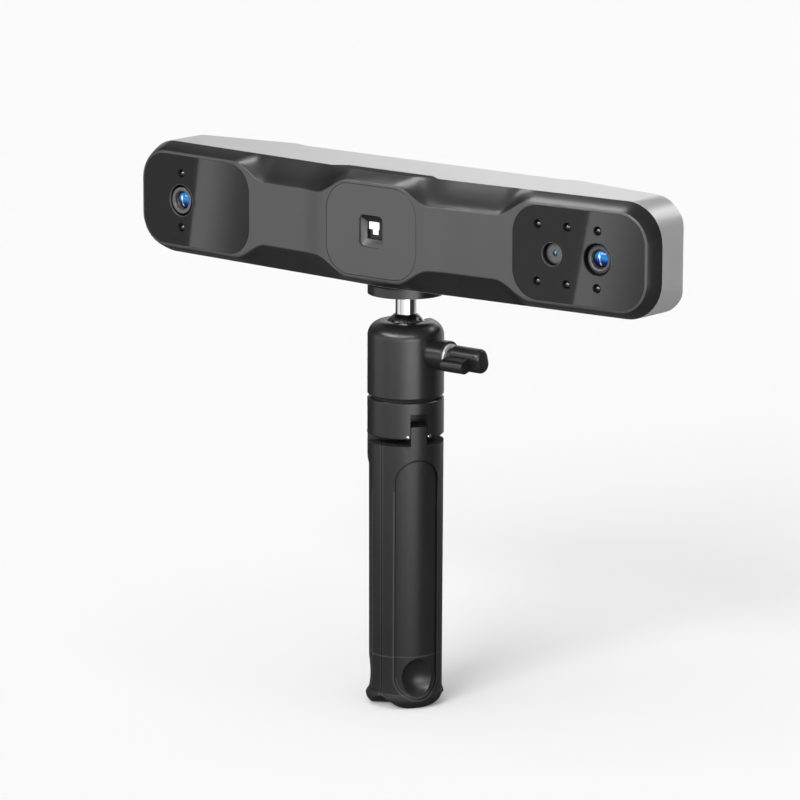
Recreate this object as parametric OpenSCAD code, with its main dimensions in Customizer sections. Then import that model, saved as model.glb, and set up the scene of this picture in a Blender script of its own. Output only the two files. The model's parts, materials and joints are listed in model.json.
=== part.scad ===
// Handheld three-d scanner: a bar of three pods on a ball head, with a folding mini tripod as its handle.
// Millimetres. X runs along the scanner, the lenses look along -Y, Z is up from the floor under the feet.

/* [Scanner body] */
// Overall length of the scanner
scanner_l = 300; // [290:1:320]
// Overall height of the scanner
scanner_h = 52.6; // [50:0.2:58]
// Overall depth of the scanner, from the middle plate to the rear pods
scanner_d = 46.2; // [45:0.2:52]
// Angle by which each half sweeps back from the middle
sweep_deg = 3.9; // [3:0.1:4.5]
// Corner radius of the shell seen from the front
corner_r = 18; // [16:0.5:21]
// Wall of the rear shell
shell_wall = 2; // [1.6:0.1:2.4]
// Set-back of the rear middle from the rear pods
rear_step = 2.4; // [1.5:0.1:3]
// Length of a rear pod with its step
rear_pod_l = 78; // [72:1:82]
// Length of the step up to a rear pod
pod_blend = 12; // [8:1:16]
// Taper of the rear pods towards the ends
pod_taper_deg = 9.5; // [7:0.5:10.5]
// Radius of the rear end corners seen from above
end_r = 4.5; // [3:0.5:6]
// Distance of the handle's axis behind the middle of the scanner's depth
handle_y = 2.5; // [0:0.5:5]

/* [Front cover] */
// Depth of the cover from its face to the parting line
cover_d = 7.2; // [6.6:0.1:8.4]
// Wall behind the face
cover_wall = 3.2; // [2.8:0.1:3.6]
// Distance of the cover's rim inside the shell's outline
cover_inset = 0.1; // [0.1:0.1:0.6]
// Gap along the parting line
seam = 0.15; // [0.1:0.05:0.3]
// Height of the face at the pods
face_h = 44; // [42:0.5:46]
// Distance from the face's end to the scanner's end
face_inset = 3.5; // [3:0.1:5]
// Corner radius of the face
face_r = 14; // [12:0.5:16]
// Height of the face at the waists
waist_h = 29; // [26:0.5:33]
// Half length of the full-height middle of the face
centre_half = 14; // [11:0.5:16]
// Length of the curve between a pod and a waist
waist_blend = 19; // [16:0.5:22]
// Length of a lens pod, from the face's end to the end of the waist
lens_pod_l = 79.5; // [76:0.5:84]
// Width of the bright edge around the face
face_chamfer = 0.35; // [0.3:0.05:0.6]
// Roundness of the bevel at the pods
pod_power = 0.72; // [0.66:0.02:1]
// Hollowness of the bevel at the waists
waist_power = 1.35; // [1:0.05:1.6]
// Length of the top tab where it leaves the cover
tab_root_l = 62; // [56:1:68]
// Length of the top tab at its rear edge
tab_tip_l = 48; // [40:1:54]
// Reach of the top tab behind the parting line
tab_d = 7; // [4:0.5:8]
// Thickness of the top tab
tab_t = 1.6; // [1.2:0.1:1.8]

/* [Projector] */
// Width of the projector plate
plate_w = 52; // [48:0.5:54]
// Height of the projector plate
plate_h = 41.6; // [39:0.2:42.4]
// Corner radius of the projector plate
plate_r = 13; // [12:0.5:15]
// Thickness of the projector plate
plate_t = 1.6; // [1.2:0.1:2]
// Width of the groove around the plate
plate_groove = 0.2; // [0.15:0.05:0.4]
// Length over which the face bends back beside the plate
plate_blend = 16; // [12:0.5:20]
// Width of the aperture in the plate
aperture_w = 13.8; // [13:0.2:15]
// Height of the aperture in the plate
aperture_h = 14.8; // [14:0.2:16]
// Corner radius of the aperture
aperture_r = 2.6; // [2:0.1:3.5]
// Depth of the aperture's funnel behind the face
funnel_d = 3.2; // [2.8:0.1:3.6]
// Slope on each side of the tunnel behind the funnel
tunnel_ledge = 2.4; // [2:0.1:3]
// Slope above and below the tunnel
tunnel_shelf = 3.4; // [3:0.1:4]
// Depth of the tunnel behind the face
tunnel_d = 4.2; // [4:0.2:5]
// Thickness of the projector glass
projector_glass_t = 1.2; // [1:0.1:1.6]

/* [Windows and lenses] */
// Length of a window
window_l = 69; // [66:0.5:71]
// Rim between a window and the face's edge
window_rim = 0.8; // [0.6:0.1:1.2]
// Thickness of a window
window_t = 1.4; // [1.2:0.1:1.8]
// Distance of a depth lens from its window's outer end
lens_in = 24.5; // [22:0.5:27]
// Diameter of the hole in front of a depth lens
lens_hole_d = 15.4; // [14.8:0.2:15.8]
// Diameter of a depth lens's barrel
barrel_d = 12.4; // [12:0.2:12.8]
// Diameter of a depth lens's glass
glass_d = 7.6; // [7:0.2:8]
// Depth of a barrel's front behind the face
barrel_front = 2.2; // [2:0.1:2.6]
// Distance between the colour lens and the depth lens beside it
color_gap = 23.7; // [22.5:0.1:25]
// Diameter of the hole in front of the colour lens
color_hole_d = 11; // [10.8:0.2:11.6]
// Diameter of the colour lens's bezel
bezel_d = 10; // [9.6:0.2:10.2]
// Depth of the colour lens's front behind the face
color_front = 2.8; // [2.4:0.1:3.2]
// Diameter of the colour lens's glass
color_glass_d = 2.6; // [2:0.2:3.4]
// Height of a lamp above or below the lenses
led_z = 12.8; // [12:0.1:13.4]
// Distance of a fill lamp to the side of the colour lens
led_dx = 7.75; // [7:0.25:8.5]
// Diameter of a lamp's hole
led_hole_d = 4.2; // [3.8:0.1:4.6]
// Diameter of a lamp
led_d = 2.8; // [2.4:0.1:3.2]
// Depth of a lamp's tip behind the face
led_tip = 0.5; // [0.3:0.1:0.8]

/* [Inside the scanner] */
// Distance of the optical frame behind the middle of the depth
frame_y = 2; // [1.5:0.1:2.4]
// Thickness of the optical frame
frame_t = 2.5; // [2:0.1:3]
// Distance of the optical frame's ends from the scanner's ends
frame_in = 6; // [5:0.5:8]
// Height of the optical frame
frame_h = 30; // [28:0.5:32]
// Thickness of a lamp board
led_board_t = 1.2; // [1:0.1:1.4]
// Side of a depth camera's module
camera_w = 20; // [18:0.5:22]
// Side of the colour camera's module
color_camera_w = 16; // [14:0.5:16]
// Depth of a camera module's front behind the face
camera_front = 6; // [5.8:0.1:6.6]
// Thickness of a camera module
camera_t = 7; // [6:0.5:8]
// Width of the projector module
projector_w = 28; // [24:0.5:32]
// Height of the projector module
projector_h = 24; // [20:0.5:26]
// Length of the main board
board_l = 170; // [160:1:172]
// Height of the main board
board_h = 33; // [31:0.5:34]
// Thickness of the main board
board_t = 1.6; // [1.2:0.1:2]
// Gap between the optical frame and the main board
board_gap = 3.5; // [3:0.1:4]
// Length of the heat sink
sink_l = 30; // [24:1:32]
// Height of the heat sink
sink_h = 28; // [24:1:30]
// Depth of the heat sink
sink_d = 6; // [5:0.5:7]
// Number of fins on the heat sink
sink_fins = 7; // [5:1:8]

/* [Rear controls] */
// Diameter of the scan button
button_d = 12; // [10:0.5:14]
// Travel of the scan button
button_travel = 0.8; // [0.5:0.1:1]
// How far the scan button stands out
button_proud = 1; // [0.9:0.1:1.4]
// Distance from the button to the indicator light
indicator_x = 13; // [12:0.5:16]
// Diameter of the indicator light
indicator_d = 3; // [2.4:0.2:3.6]
// Distance from the button to the cable socket
socket_x = 33; // [30:0.5:36]
// Width of the cable socket's metal shell
socket_w = 9; // [8.8:0.1:9.4]
// Height of the cable socket's metal shell
socket_h = 3.3; // [3.2:0.1:3.6]
// Wall of the cable socket's metal shell
socket_wall = 0.35; // [0.3:0.05:0.4]
// Depth of the cable socket
socket_depth = 6.5; // [6:0.1:7]
// Number of vent slots in each rear pod
vents = 6; // [4:1:7]
// Pitch of the vent slots
vent_pitch = 4; // [3.5:0.1:4.5]
// Width of a vent slot
vent_w = 1.5; // [1:0.1:2]
// Height of a vent slot
vent_h = 20; // [14:1:24]

/* [Fasteners] */
// Distance from the middle to the inner shell screws
screw_x = 50; // [48:0.5:54]
// Height of the inner shell screws above and below the middle
screw_z = 11; // [10:0.5:11.5]
// Distance of the end shell screws from the scanner's ends
screw_end_in = 11; // [10:0.5:12]
// Diameter of a shell screw
screw_d = 2.5; // [2:0.1:3]
// Diameter of a shell screw's head
screw_head_d = 4.6; // [4:0.1:5]
// Height of a shell screw's head
screw_head_h = 1.6; // [1.4:0.1:2]
// Diameter of a screw boss
boss_d = 6.4; // [6:0.1:6.8]
// Diameter of the tripod screw
tripod_screw_d = 6.2; // [6:0.05:6.3]
// Diameter of the tripod insert
insert_d = 11; // [10:0.5:12]
// Height of the tripod insert
insert_h = 8.4; // [7.5:0.1:8.6]

/* [Ball head] */
// Diameter of the handle at the head
head_d = 35.2; // [34:0.2:37]
// Height of the head's housing
housing_h = 33.6; // [33:0.2:37]
// Radius of the housing's shoulder
shoulder_r = 7; // [5:0.5:7.5]
// Diameter of the ball
ball_d = 18; // [17.6:0.2:18.4]
// Height of the housing's rim above the ball's centre
rim_rise = 4.4; // [4:0.1:4.8]
// Depth of the flare around the socket's mouth
mouth_d = 0.3; // [0.2:0.1:1]
// Distance from the ball's centre to the platform
stem_reach = 17; // [16.9:0.1:19]
// Diameter of the stem
stem_d = 9.6; // [8.6:0.2:9.8]
// Height of the platform disc
platform_h = 4.3; // [4.1:0.1:6]
// Height of the rubber pad on the platform
pad_h = 1; // [0.8:0.1:1.5]
// Drop of the lock screw below the ball's centre
lock_drop = 9.4; // [9.1:0.1:9.5]
// Diameter of the lock screw
lock_screw_d = 6; // [5:0.1:6]
// Diameter of the boss on the housing
lock_boss_d = 14; // [12:0.5:15]
// Reach of the boss from the handle's axis
lock_boss_x = 25.5; // [23:0.5:27]
// Thickness of the knob's washer
knob_washer_t = 1; // [0.6:0.1:1.2]
// Reach of the knob from the handle's axis
knob_x = 45.5; // [44:0.5:47]
// Height of the knob's grip
knob_grip_h = 11.4; // [10.6:0.2:13]
// Thickness of the knob's grip
knob_grip_t = 8.6; // [8:0.2:10]
// Reach of the knob's wing from its axis
knob_wing_reach = 11; // [10:0.5:13]
// Thickness of the knob's wing
knob_wing_t = 6; // [5:0.2:7]
// Length of the knob's wing along its axis
knob_wing_l = 12; // [10:0.5:13]
// Turn of the knob as it stands
knob_turn_deg = 16; // [0:1:20]
// Room for the ball seat to rise as the knob locks it
seat_travel = 0.2; // [0.1:0.05:0.25]

/* [Folding legs] */
// Thickness of the friction washer under the head
friction_washer_t = 2; // [1.6:0.1:2.4]
// Set-back of the friction washer from the handle's outline
friction_inset = 2.2; // [1.6:0.1:2.6]
// Height of the crown
crown_h = 16.9; // [16:0.1:19]
// Gap between the crown and the legs
hinge_gap = 3.1; // [3:0.1:3.8]
// Length of a leg between its foot and the crown gap
leg_h = 99.3; // [90:0.5:120]
// Height of a foot
foot_h = 24.8; // [22:0.2:28]
// Diameter of the handle at the feet
foot_d = 34.5; // [33.5:0.1:36]
// Gap between neighbouring legs
leg_gap = 0.5; // [0.4:0.1:0.8]
// Diameter of the hollow between the legs
core_d = 12; // [8:0.5:13]
// Distance of a leg's hinge from the handle's axis
pivot_r = 12.5; // [12:0.1:12.8]
// Height of a leg's hinge above the crown's lower edge
pivot_rise = 2.8; // [2.7:0.1:3]
// Diameter of a hinge pin
pin_d = 3; // [2.6:0.1:3]
// Width of a leg's knuckle
knuckle_w = 7.6; // [7:0.1:8.4]
// Height of a knuckle above its hinge
knuckle_rise = 3; // [2.5:0.1:3.4]
// Height of a notch above the hinge
notch_rise = 9; // [8:0.5:10]
// Width of the recessed panel on a leg
panel_w = 20.8; // [18:0.2:22]
// Depth of the recessed panel on a leg
panel_d = 0.7; // [0.4:0.1:0.9]
// Distance from a leg's top to its panel
panel_drop = 6.9; // [5:0.1:10]
// Radius of a foot's rounded end
foot_end_r = 20.8; // [19:0.2:23]
// Depth of the flat under a foot
foot_flat = 0.5; // [0.3:0.1:0.8]
// Reach of the lip at a foot's end
foot_lip = 0.8; // [0.5:0.1:1]
// Radius of the lip at a foot's end
foot_lip_r = 4.6; // [4:0.1:5.4]
// Height of the thumb dish and of the panel's round end above the floor
dish_z = 14.9; // [14:0.1:16]
// Diameter of the thumb dish in a foot
dish_d = 19; // [17:0.5:19.5]
// Depth of the thumb dish in a foot
dish_depth = 5; // [4:0.2:5.2]

/* [Hidden] */
$fn = 64;
// Clearances: between seated pieces, of running shafts and of pieces that swing past each other
seat_fit = 0.05;
run_fit = 0.05;
swing_gap = 0.4;
// Spare length that carries a cut past the face that it opens
cut = 1;
// Samples along the cover's edges and corners, and the rings of its bevel
edge_n = 52;
corner_n = 9;
bevel_steps = [0.14, 0.28, 0.42, 0.56, 0.7, 0.85, 1];
blend_n = 8;
// Small sizes of the cover, its tab and its screws
tab_sink = 0.1;
tab_overlap = 0.3;
boss_root = 0.6;
screw_gap = 0.3;
screw_grip = 8;
drive_d = 2;
vent_margin = 8;
vent_reach = 7;
// Small sizes of the lenses, lamps and boards
glass_set = 1;
glass_t = 1.4;
dome_r = 7;
dome_rise = 0.6;
barrel_lip = 1.4;
barrel_step = 0.4;
color_glass_t = 1.6;
color_set = 0.2;
lamp_margin = 2.5;
module_r = 2;
frame_r = 6;
frame_pad_d = 7;
standoff_d = 5;
sink_base_t = 2;
// Small sizes of the rear controls
socket_sink = 0.4;
tongue_sink = 1.4;
tongue_gap = 1.2;
tongue_t = 0.7;
button_flange = 1;
button_lip = 1.5;
switch_w = 6;
switch_h = 4;
plunger_d = 3.2;
plunger_gap = 0.2;
indicator_proud = 0.2;
// Small sizes of the ball head and its lock
tripod_head_d = 14;
tripod_head_t = 1.5;
tripod_short = 2;
pad_inset = 0.6;
stem_seat = 4.1;
seat_base = 5.8;
seat_h = 8.4;
seat_gap = 0.3;
lock_tip_x = 6.8;
lock_tip_d = 2;
lock_cone = 1.8;
knob_cap = 6;
knob_hub_d = 8.4;
knob_hub_l = 3;
knob_wing_set = 2;
knob_washer_d = 11.6;
// Small sizes of the crown, legs and feet
stud_sunk = 8;
stud_reach = 9;
crown_chamfer = 0.6;
pin_grip = 3.6;
knuckle_wall = 2.1;
knuckle_root = 3;
leg_inset = 0.1;
leg_half_deg = 60;
foot_round = 2.4;

// Heights of the stack, from the floor up
leg_top = foot_h + leg_h;
crown_z = leg_top + hinge_gap;
washer_z = crown_z + crown_h;
housing_z = washer_z + friction_washer_t + seat_fit;
housing_top = housing_z + housing_h;
ball_z = housing_top - rim_rise;
platform_z = ball_z + stem_reach;
pad_z = platform_z + platform_h;
scanner_z = pad_z + pad_h + scanner_h/2;
lock_z = ball_z - lock_drop;
pivot_z = crown_z + pivot_rise;

// Radii of the handle
head_r = head_d/2;
foot_r = foot_d/2;
ball_r = ball_d/2;
socket_r = ball_r + swing_gap;
knuckle_r = pin_d/2 + knuckle_wall;
notch_w = knuckle_w + 2*swing_gap;
notch_r = pivot_r - knuckle_r - 2*swing_gap;
leg_angles = [-30, 210, 90];

// Front cover outlines
apex_y = -scanner_d/2;
plate_half = plate_w/2;
face_end = scanner_l/2 - face_inset;
waist_end = face_end - lens_pod_l;
pod_start = scanner_l/2 - rear_pod_l;
rim_end = scanner_l/2 - cover_inset;
rim_h = scanner_h - 2*cover_inset;
rim_r = corner_r - cover_inset;
window_end = face_end/cos(sweep_deg) - window_rim;
window_from = window_end - window_l;
lens_x = window_end - lens_in;
color_x = lens_x - color_gap;
window_h = face_h - 2*window_rim;
window_r = face_r - window_rim;

// Inside the scanner
tunnel_w = aperture_w - 2*tunnel_ledge;
tunnel_h = aperture_h - 2*tunnel_shelf;
projector_front = apex_y + tunnel_d + projector_glass_t;
camera_back = camera_front + camera_t;
frame_l = scanner_l - 2*frame_in;
frame_back = frame_y + frame_t;
board_y = frame_back + board_gap;
board_back = board_y + board_t;
rear_mid = scanner_d/2 - rear_step;
rear_inner = rear_mid - shell_wall;
led_board_front = cover_wall + 2*seat_fit;
screw_end_x = scanner_l/2 - screw_end_in;
screw_points = [for (x = [-1, 1], z = [-1, 1]) [x*screw_x, z*screw_z]];
end_points = [[-screw_end_x, 0], [screw_end_x, 0]];

function mix(a, b, t) = a + (b - a)*t;
function smooth(t) = let (c = max(0, min(1, t))) c*c*(3 - 2*c);

// The face bends back on both sides of the flat plate and then runs straight
function sweep_y(x) = apex_y + abs(x)*tan(sweep_deg);
function face_y(x) = mix(apex_y, sweep_y(x), smooth((abs(x) - plate_half)/plate_blend));
function parting_y(x) = sweep_y(x) + cover_d;

// Share of waist at a distance from the middle: 0 at the pods, 1 at a waist
function waist(x) = smooth((x - centre_half)/waist_blend) - smooth((x - waist_end)/waist_blend);

// Quarter outlines in x and z, from the middle of the top edge round to the end
function corner(end, h, r, c) = [for (j = [1:corner_n]) let (a = 90*(1 - j/corner_n))
    [end - r + (r - c)*cos(a), h/2 - r + (r - c)*sin(a)]];
function face_quarter(c) = concat([for (i = [0:edge_n]) let (x = (face_end - face_r)*i/edge_n)
    [x, mix(face_h, waist_h, waist(x))/2 - c]], corner(face_end, face_h, face_r, c));
function rim_quarter(c) = concat([for (i = [0:edge_n]) [(rim_end - rim_r)*i/edge_n, rim_h/2 - c]],
    corner(rim_end, rim_h, rim_r, c));

// Quarter rings in space: on the face, on the bevel and on the parting line
function face_ring(c, depth) = [for (p = face_quarter(c)) [p.x, face_y(p.x) + depth, p.y]];
function rim_ring(c, depth) = [for (p = rim_quarter(c)) [p.x, parting_y(p.x) + depth, p.y]];
function bevel_ring(u) = let (f = face_ring(0, 0), r = rim_ring(0, 0)) [for (i = [0:len(f) - 1])
    let (w = pow(u, mix(pod_power, waist_power, waist(f[i].x))))
    [mix(f[i].x, r[i].x, w), mix(f[i].y, r[i].y, u), mix(f[i].z, r[i].z, w)]];

// Full ring from a quarter ring: right half, then left half
function full_ring(q) = let (m = len(q)) concat(q, [for (i = [m - 1:-1:0]) [q[i].x, q[i].y, -q[i].z]],
    [for (i = [1:m - 1]) [-q[i].x, q[i].y, -q[i].z]], [for (i = [m - 1:-1:1]) [-q[i].x, q[i].y, q[i].z]]);

// Closed solid through quarter rings, from front to back, with ladder-shaped ends
module loft(rings) {
    m = len(rings[0]);
    n = 4*m - 2;
    last = (len(rings) - 1)*n;
    ladder = concat([for (k = [0:m - 2]) [k, k + 1, 2*m - 2 - k, 2*m - 1 - k]],
        [for (k = [0:m - 2]) [n - k - 1, (n - k) % n, 2*m - 1 + k, 2*m + k]]);
    walls = [for (r = [0:len(rings) - 2], i = [0:n - 1])
        [r*n + i, r*n + n + i, r*n + n + (i + 1) % n, r*n + (i + 1) % n]];
    back = [for (f = ladder) [for (i = [3:-1:0]) f[i] + last]];
    translate([0, 0, scanner_z]) polyhedron([for (r = rings) each full_ring(r)], concat(ladder, walls, back));
}

// Rectangle with round corners, centred
module rounded(w, h, r) {
    square([w - 2*r, h], center = true);
    square([w, h - 2*r], center = true);
    for (x = [-1, 1], y = [-1, 1]) translate([x*(w/2 - r), y*(h/2 - r)]) circle(r);
}

// A flat shape drawn in x and z, given depth from y = from to y = to
module upright(from, to) { translate([0, to, 0]) rotate([90, 0, 0]) linear_extrude(to - from) children(); }

// Round bar along y or x
module y_bar(d, from, to) { translate([0, to, 0]) rotate([90, 0, 0]) cylinder(h = to - from, d = d); }
module x_bar(d, from, to) { translate([from, 0, 0]) rotate([0, 90, 0]) cylinder(h = to - from, d = d); }

// Frames: the scanner's centre, its swept faces (y inwards from the face) and the handle
module at_scanner() { translate([0, 0, scanner_z]) children(); }
module at_right_face() { translate([0, apex_y, scanner_z]) rotate(sweep_deg) children(); }
module at_left_face() { mirror([1, 0, 0]) at_right_face() children(); }
module at_handle(z = 0) { translate([0, handle_y, z]) children(); }
module at_leg(i) { at_handle() rotate(leg_angles[i]) children(); }

// Places along a face
module at_lens() { translate([lens_x, 0, 0]) children(); }
module at_color() { translate([color_x, 0, 0]) children(); }
module at_depth_lamps() { for (s = [-1, 1]) translate([lens_x, 0, s*led_z]) children(); }
module at_fill_lamps() {
    for (x = [-1, 1], z = [-1, 1]) translate([color_x + x*led_dx, 0, z*led_z]) children();
}
module at_screws(points) { at_scanner() for (p = points) translate([p.x, 0, p.y]) children(); }

// Holes of one face, right through from y = from to y = to
module lens_holes(from, to) {
    at_lens() y_bar(lens_hole_d, from, to);
    at_depth_lamps() y_bar(led_hole_d, from, to);
}
module color_holes(from, to) {
    at_color() y_bar(color_hole_d, from, to);
    at_fill_lamps() y_bar(led_hole_d, from, to);
}

// Window blank and the pocket that it lies in
module window_slab(gap, from, to) {
    translate([(window_from + window_end)/2, 0, 0])
        upright(from, to) rounded(window_end - window_from + 2*gap, window_h + 2*gap, window_r + gap);
}
module window() {
    difference() {
        window_slab(0, 0, window_t);
        lens_holes(-cut, window_t + cut);
        children();
    }
}

module tab_outline(gap, overlap) {
    root_x = tab_root_l/2 + gap;
    tip_x = tab_tip_l/2 + gap;
    root_y = parting_y(tab_root_l/2);
    tip_y = parting_y(0) + tab_d + gap;
    polygon([[-root_x, root_y - overlap], [0, parting_y(0) - overlap], [root_x, root_y - overlap],
        [root_x, root_y + tab_overlap + gap], [tip_x, tip_y], [-tip_x, tip_y],
        [-root_x, root_y + tab_overlap + gap]]);
}

// Funnel of the aperture, from the plate's back down to the tunnel
module funnel() {
    hull() {
        upright(apex_y, apex_y + plate_t) rounded(aperture_w, aperture_h, aperture_r);
        upright(apex_y + plate_t, apex_y + funnel_d) square([tunnel_w, tunnel_h], true);
    }
}

module front_cover() {
    first_step = face_chamfer/cover_d;
    rings = concat([face_ring(face_chamfer, 0)], [for (u = concat([first_step], bevel_steps)) bevel_ring(u)]);
    color("#3a3a3c") difference() {
        union() {
            difference() {
                loft(rings);
                loft([face_ring(cover_wall, cover_wall), rim_ring(shell_wall, cut)]);
            }
            translate([0, 0, scanner_z + rim_h/2 - tab_t])
                linear_extrude(tab_t - tab_sink) tab_outline(0, tab_overlap);
            at_scanner() upright(apex_y + cover_wall - cut, apex_y + tunnel_d)
                square([aperture_w + 2*shell_wall, aperture_h + 2*shell_wall], true);
            at_screws(screw_points) y_bar(boss_d, sweep_y(screw_x) + cover_wall - boss_root, frame_y);
            at_screws(end_points) y_bar(boss_d, sweep_y(screw_end_x) + cover_wall - boss_root, frame_y);
        }
        at_scanner() upright(apex_y - cut, apex_y + plate_t)
            rounded(plate_w + 2*plate_groove, plate_h + 2*plate_groove, plate_r + plate_groove);
        at_scanner() funnel();
        at_scanner() upright(apex_y, apex_y + tunnel_d + cut) square([tunnel_w, tunnel_h], true);
        at_right_face() {
            window_slab(2*seat_fit, -cut, window_t);
            lens_holes(-cut, cover_wall + cut);
            color_holes(-cut, cover_wall + cut);
        }
        at_left_face() {
            window_slab(2*seat_fit, -cut, window_t);
            lens_holes(-cut, cover_wall + cut);
        }
        at_screws(screw_points) y_bar(screw_d + 2*seat_fit, frame_y - screw_grip - cut, frame_y + cut);
        at_screws(end_points) y_bar(screw_d + 2*seat_fit, frame_y - screw_grip - cut, frame_y + cut);
    }
}

// Rear shell seen from above: straight middle, step up to a pod, taper and a round end
function rear_y(x) = let (pod_x = pod_start + pod_blend)
    mix(rear_mid, scanner_d/2 - max(0, abs(x) - pod_x)*tan(pod_taper_deg),
        smooth((abs(x) - pod_start)/pod_blend));
function shell_half(c) = let (r = max(end_r - c, 1), cx = scanner_l/2 - c - r,
    cy = rear_y(cx) - (c + r)/cos(pod_taper_deg)) concat([[0, rear_mid - c]],
    [for (i = [0:blend_n]) let (x = pod_start + pod_blend*i/blend_n) [x, rear_y(x) - c]],
    [for (i = [0:blend_n]) let (a = (90 - pod_taper_deg)*(1 - i/blend_n)) [cx + r*cos(a), cy + r*sin(a)]]);
module shell_block(c, front) {
    end = [scanner_l/2 - c, parting_y(scanner_l/2) + front];
    half = concat(shell_half(c), [end, [0, parting_y(0) + front]]);
    intersection() {
        linear_extrude(scanner_h + 2*cut, center = true)
            polygon(concat(half, [for (i = [len(half) - 1:-1:0]) [-half[i].x, half[i].y]]));
        upright(-scanner_d, scanner_d) rounded(scanner_l - 2*c, scanner_h - 2*c, corner_r - c);
    }
}
module at_vents() {
    vent_x = pod_start + pod_blend + vent_margin;
    for (s = [-1, 1], i = [0:vents - 1]) translate([s*(vent_x + i*vent_pitch), 0, 0]) children();
}
module screw_bore(x) {
    y_bar(screw_d + 2*screw_gap, frame_back - cut, rear_y(x) + cut);
    y_bar(screw_head_d + 2*screw_gap, rear_y(x) - 2*screw_head_h, rear_y(x) + cut);
}

module rear_shell() {
    insert_boss_d = insert_d + 3*shell_wall;
    color("#c4c4c6") difference() {
        union() {
            difference() {
                at_scanner() shell_block(0, seam);
                at_scanner() shell_block(shell_wall, -cut);
            }
            at_screws(screw_points) y_bar(boss_d, frame_back, rear_mid - shell_wall/2);
            at_screws(end_points) y_bar(boss_d, frame_back, rear_y(screw_end_x) - shell_wall/2);
            at_handle(scanner_z - scanner_h/2) cylinder(h = insert_h, d = insert_boss_d);
        }
        translate([0, 0, scanner_z + rim_h/2 - tab_t - seam])
            linear_extrude(scanner_h) tab_outline(seam, cut);
        at_handle(scanner_z - scanner_h/2 - cut)
            cylinder(h = insert_h + 2*cut, d = insert_d + 2*seat_fit);
        at_screws(screw_points) screw_bore(screw_x);
        at_screws(end_points) screw_bore(screw_end_x);
        at_scanner() y_bar(button_d + 2*swing_gap, rear_inner - cut, rear_mid + cut);
        at_scanner() translate([indicator_x, 0, 0])
            y_bar(indicator_d + 2*seat_fit, rear_inner - cut, rear_mid + cut);
        at_scanner() translate([socket_x, 0, 0]) upright(rear_inner - cut, rear_mid + cut)
            rounded(socket_w + 2*seat_fit, socket_h + 2*seat_fit, socket_h/2);
        at_scanner() at_vents() upright(rear_inner - vent_reach, scanner_d)
            rounded(vent_w, vent_h, vent_w/2 - seat_fit);
    }
}

module left_window() { color("#1c1c1e") at_left_face() window(); }
module right_window() { color("#1c1c1e") at_right_face() window() color_holes(-cut, window_t + cut); }

module projector_plate() {
    color("#454547") at_scanner() upright(apex_y, apex_y + plate_t) difference() {
        rounded(plate_w, plate_h, plate_r);
        rounded(aperture_w, aperture_h, aperture_r);
    }
}
module projector_glass() {
    color("#f2f2f2") at_scanner() upright(apex_y + tunnel_d, projector_front)
        square([tunnel_w + tunnel_ledge, tunnel_h + tunnel_ledge], true);
}

// Depth lens: a stepped barrel and a domed glass
glass_front = barrel_front + glass_set;
glass_back = glass_front + glass_t;
module lens_barrel() {
    lip_d = barrel_d - 2*barrel_lip;
    steps = [lip_d, (lip_d + glass_d)/2, glass_d + 2*seat_fit];
    at_lens() difference() {
        y_bar(barrel_d, barrel_front, camera_front);
        y_bar(steps[0], barrel_front - cut, barrel_front + barrel_step);
        y_bar(steps[1], barrel_front, barrel_front + 2*barrel_step);
        y_bar(steps[2], barrel_front, glass_back + seat_fit);
    }
}
module lens_glass() {
    at_lens() intersection() {
        y_bar(glass_d, barrel_front, glass_back);
        translate([0, glass_front + dome_r - dome_rise, 0]) sphere(dome_r);
    }
}
module left_lens_barrel() { color("#4a4a4d") at_left_face() lens_barrel(); }
module right_lens_barrel() { color("#4a4a4d") at_right_face() lens_barrel(); }
module left_lens_glass() { color("#1d4fb0") at_left_face() lens_glass(); }
module right_lens_glass() { color("#1d4fb0") at_right_face() lens_glass(); }

module color_lens_bezel() {
    color("#5a5a5c") at_right_face() at_color() difference() {
        y_bar(bezel_d, color_front, camera_front);
        y_bar(color_glass_d + 2*seat_fit, 0, color_front + color_glass_t);
    }
}
module color_lens_glass() {
    color("#3fa6b8") at_right_face() at_color() intersection() {
        y_bar(color_glass_d, color_front, color_front + color_glass_t - seat_fit);
        translate([0, color_front + color_glass_d + color_set, 0]) sphere(color_glass_d);
    }
}

// A lamp: a round body with a domed tip, standing on its board
module lamp() {
    y_bar(led_d, led_tip + led_d/2, led_board_front);
    translate([0, led_tip + led_d/2, 0]) sphere(d = led_d);
}
module depth_lamps() {
    color("#d8d8de") {
        at_left_face() at_depth_lamps() lamp();
        at_right_face() at_depth_lamps() lamp();
    }
}
module fill_lamps() { color("#ececf0") at_right_face() at_fill_lamps() lamp(); }

module lamp_board(from, to) {
    difference() {
        translate([(from + to)/2, 0, 0])
            upright(led_board_front, led_board_front + led_board_t)
                square([to - from, 2*(led_z + lamp_margin)], true);
        at_lens() y_bar(lens_hole_d + 2*swing_gap, 0, camera_front);
        children();
    }
}
module left_lamp_board() {
    color("#1f6b3a") at_left_face() lamp_board(lens_x - barrel_d, lens_x + barrel_d);
}
module right_lamp_board() {
    color("#1f6b3a") at_right_face() lamp_board(color_x - led_dx - 2*lamp_margin, lens_x + barrel_d)
        at_color() y_bar(color_hole_d + 2*swing_gap, 0, camera_front);
}

module camera_block(w) { upright(camera_front, camera_back) square([w, w], true); }
module left_camera() { color("#2d2f33") at_left_face() at_lens() camera_block(camera_w); }
module right_camera() { color("#2d2f33") at_right_face() at_lens() camera_block(camera_w); }
module color_camera() { color("#2d2f33") at_right_face() at_color() camera_block(color_camera_w); }

module projector_module() {
    color("#55585e") at_scanner() upright(projector_front, frame_y)
        rounded(projector_w, projector_h, module_r);
}

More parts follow.
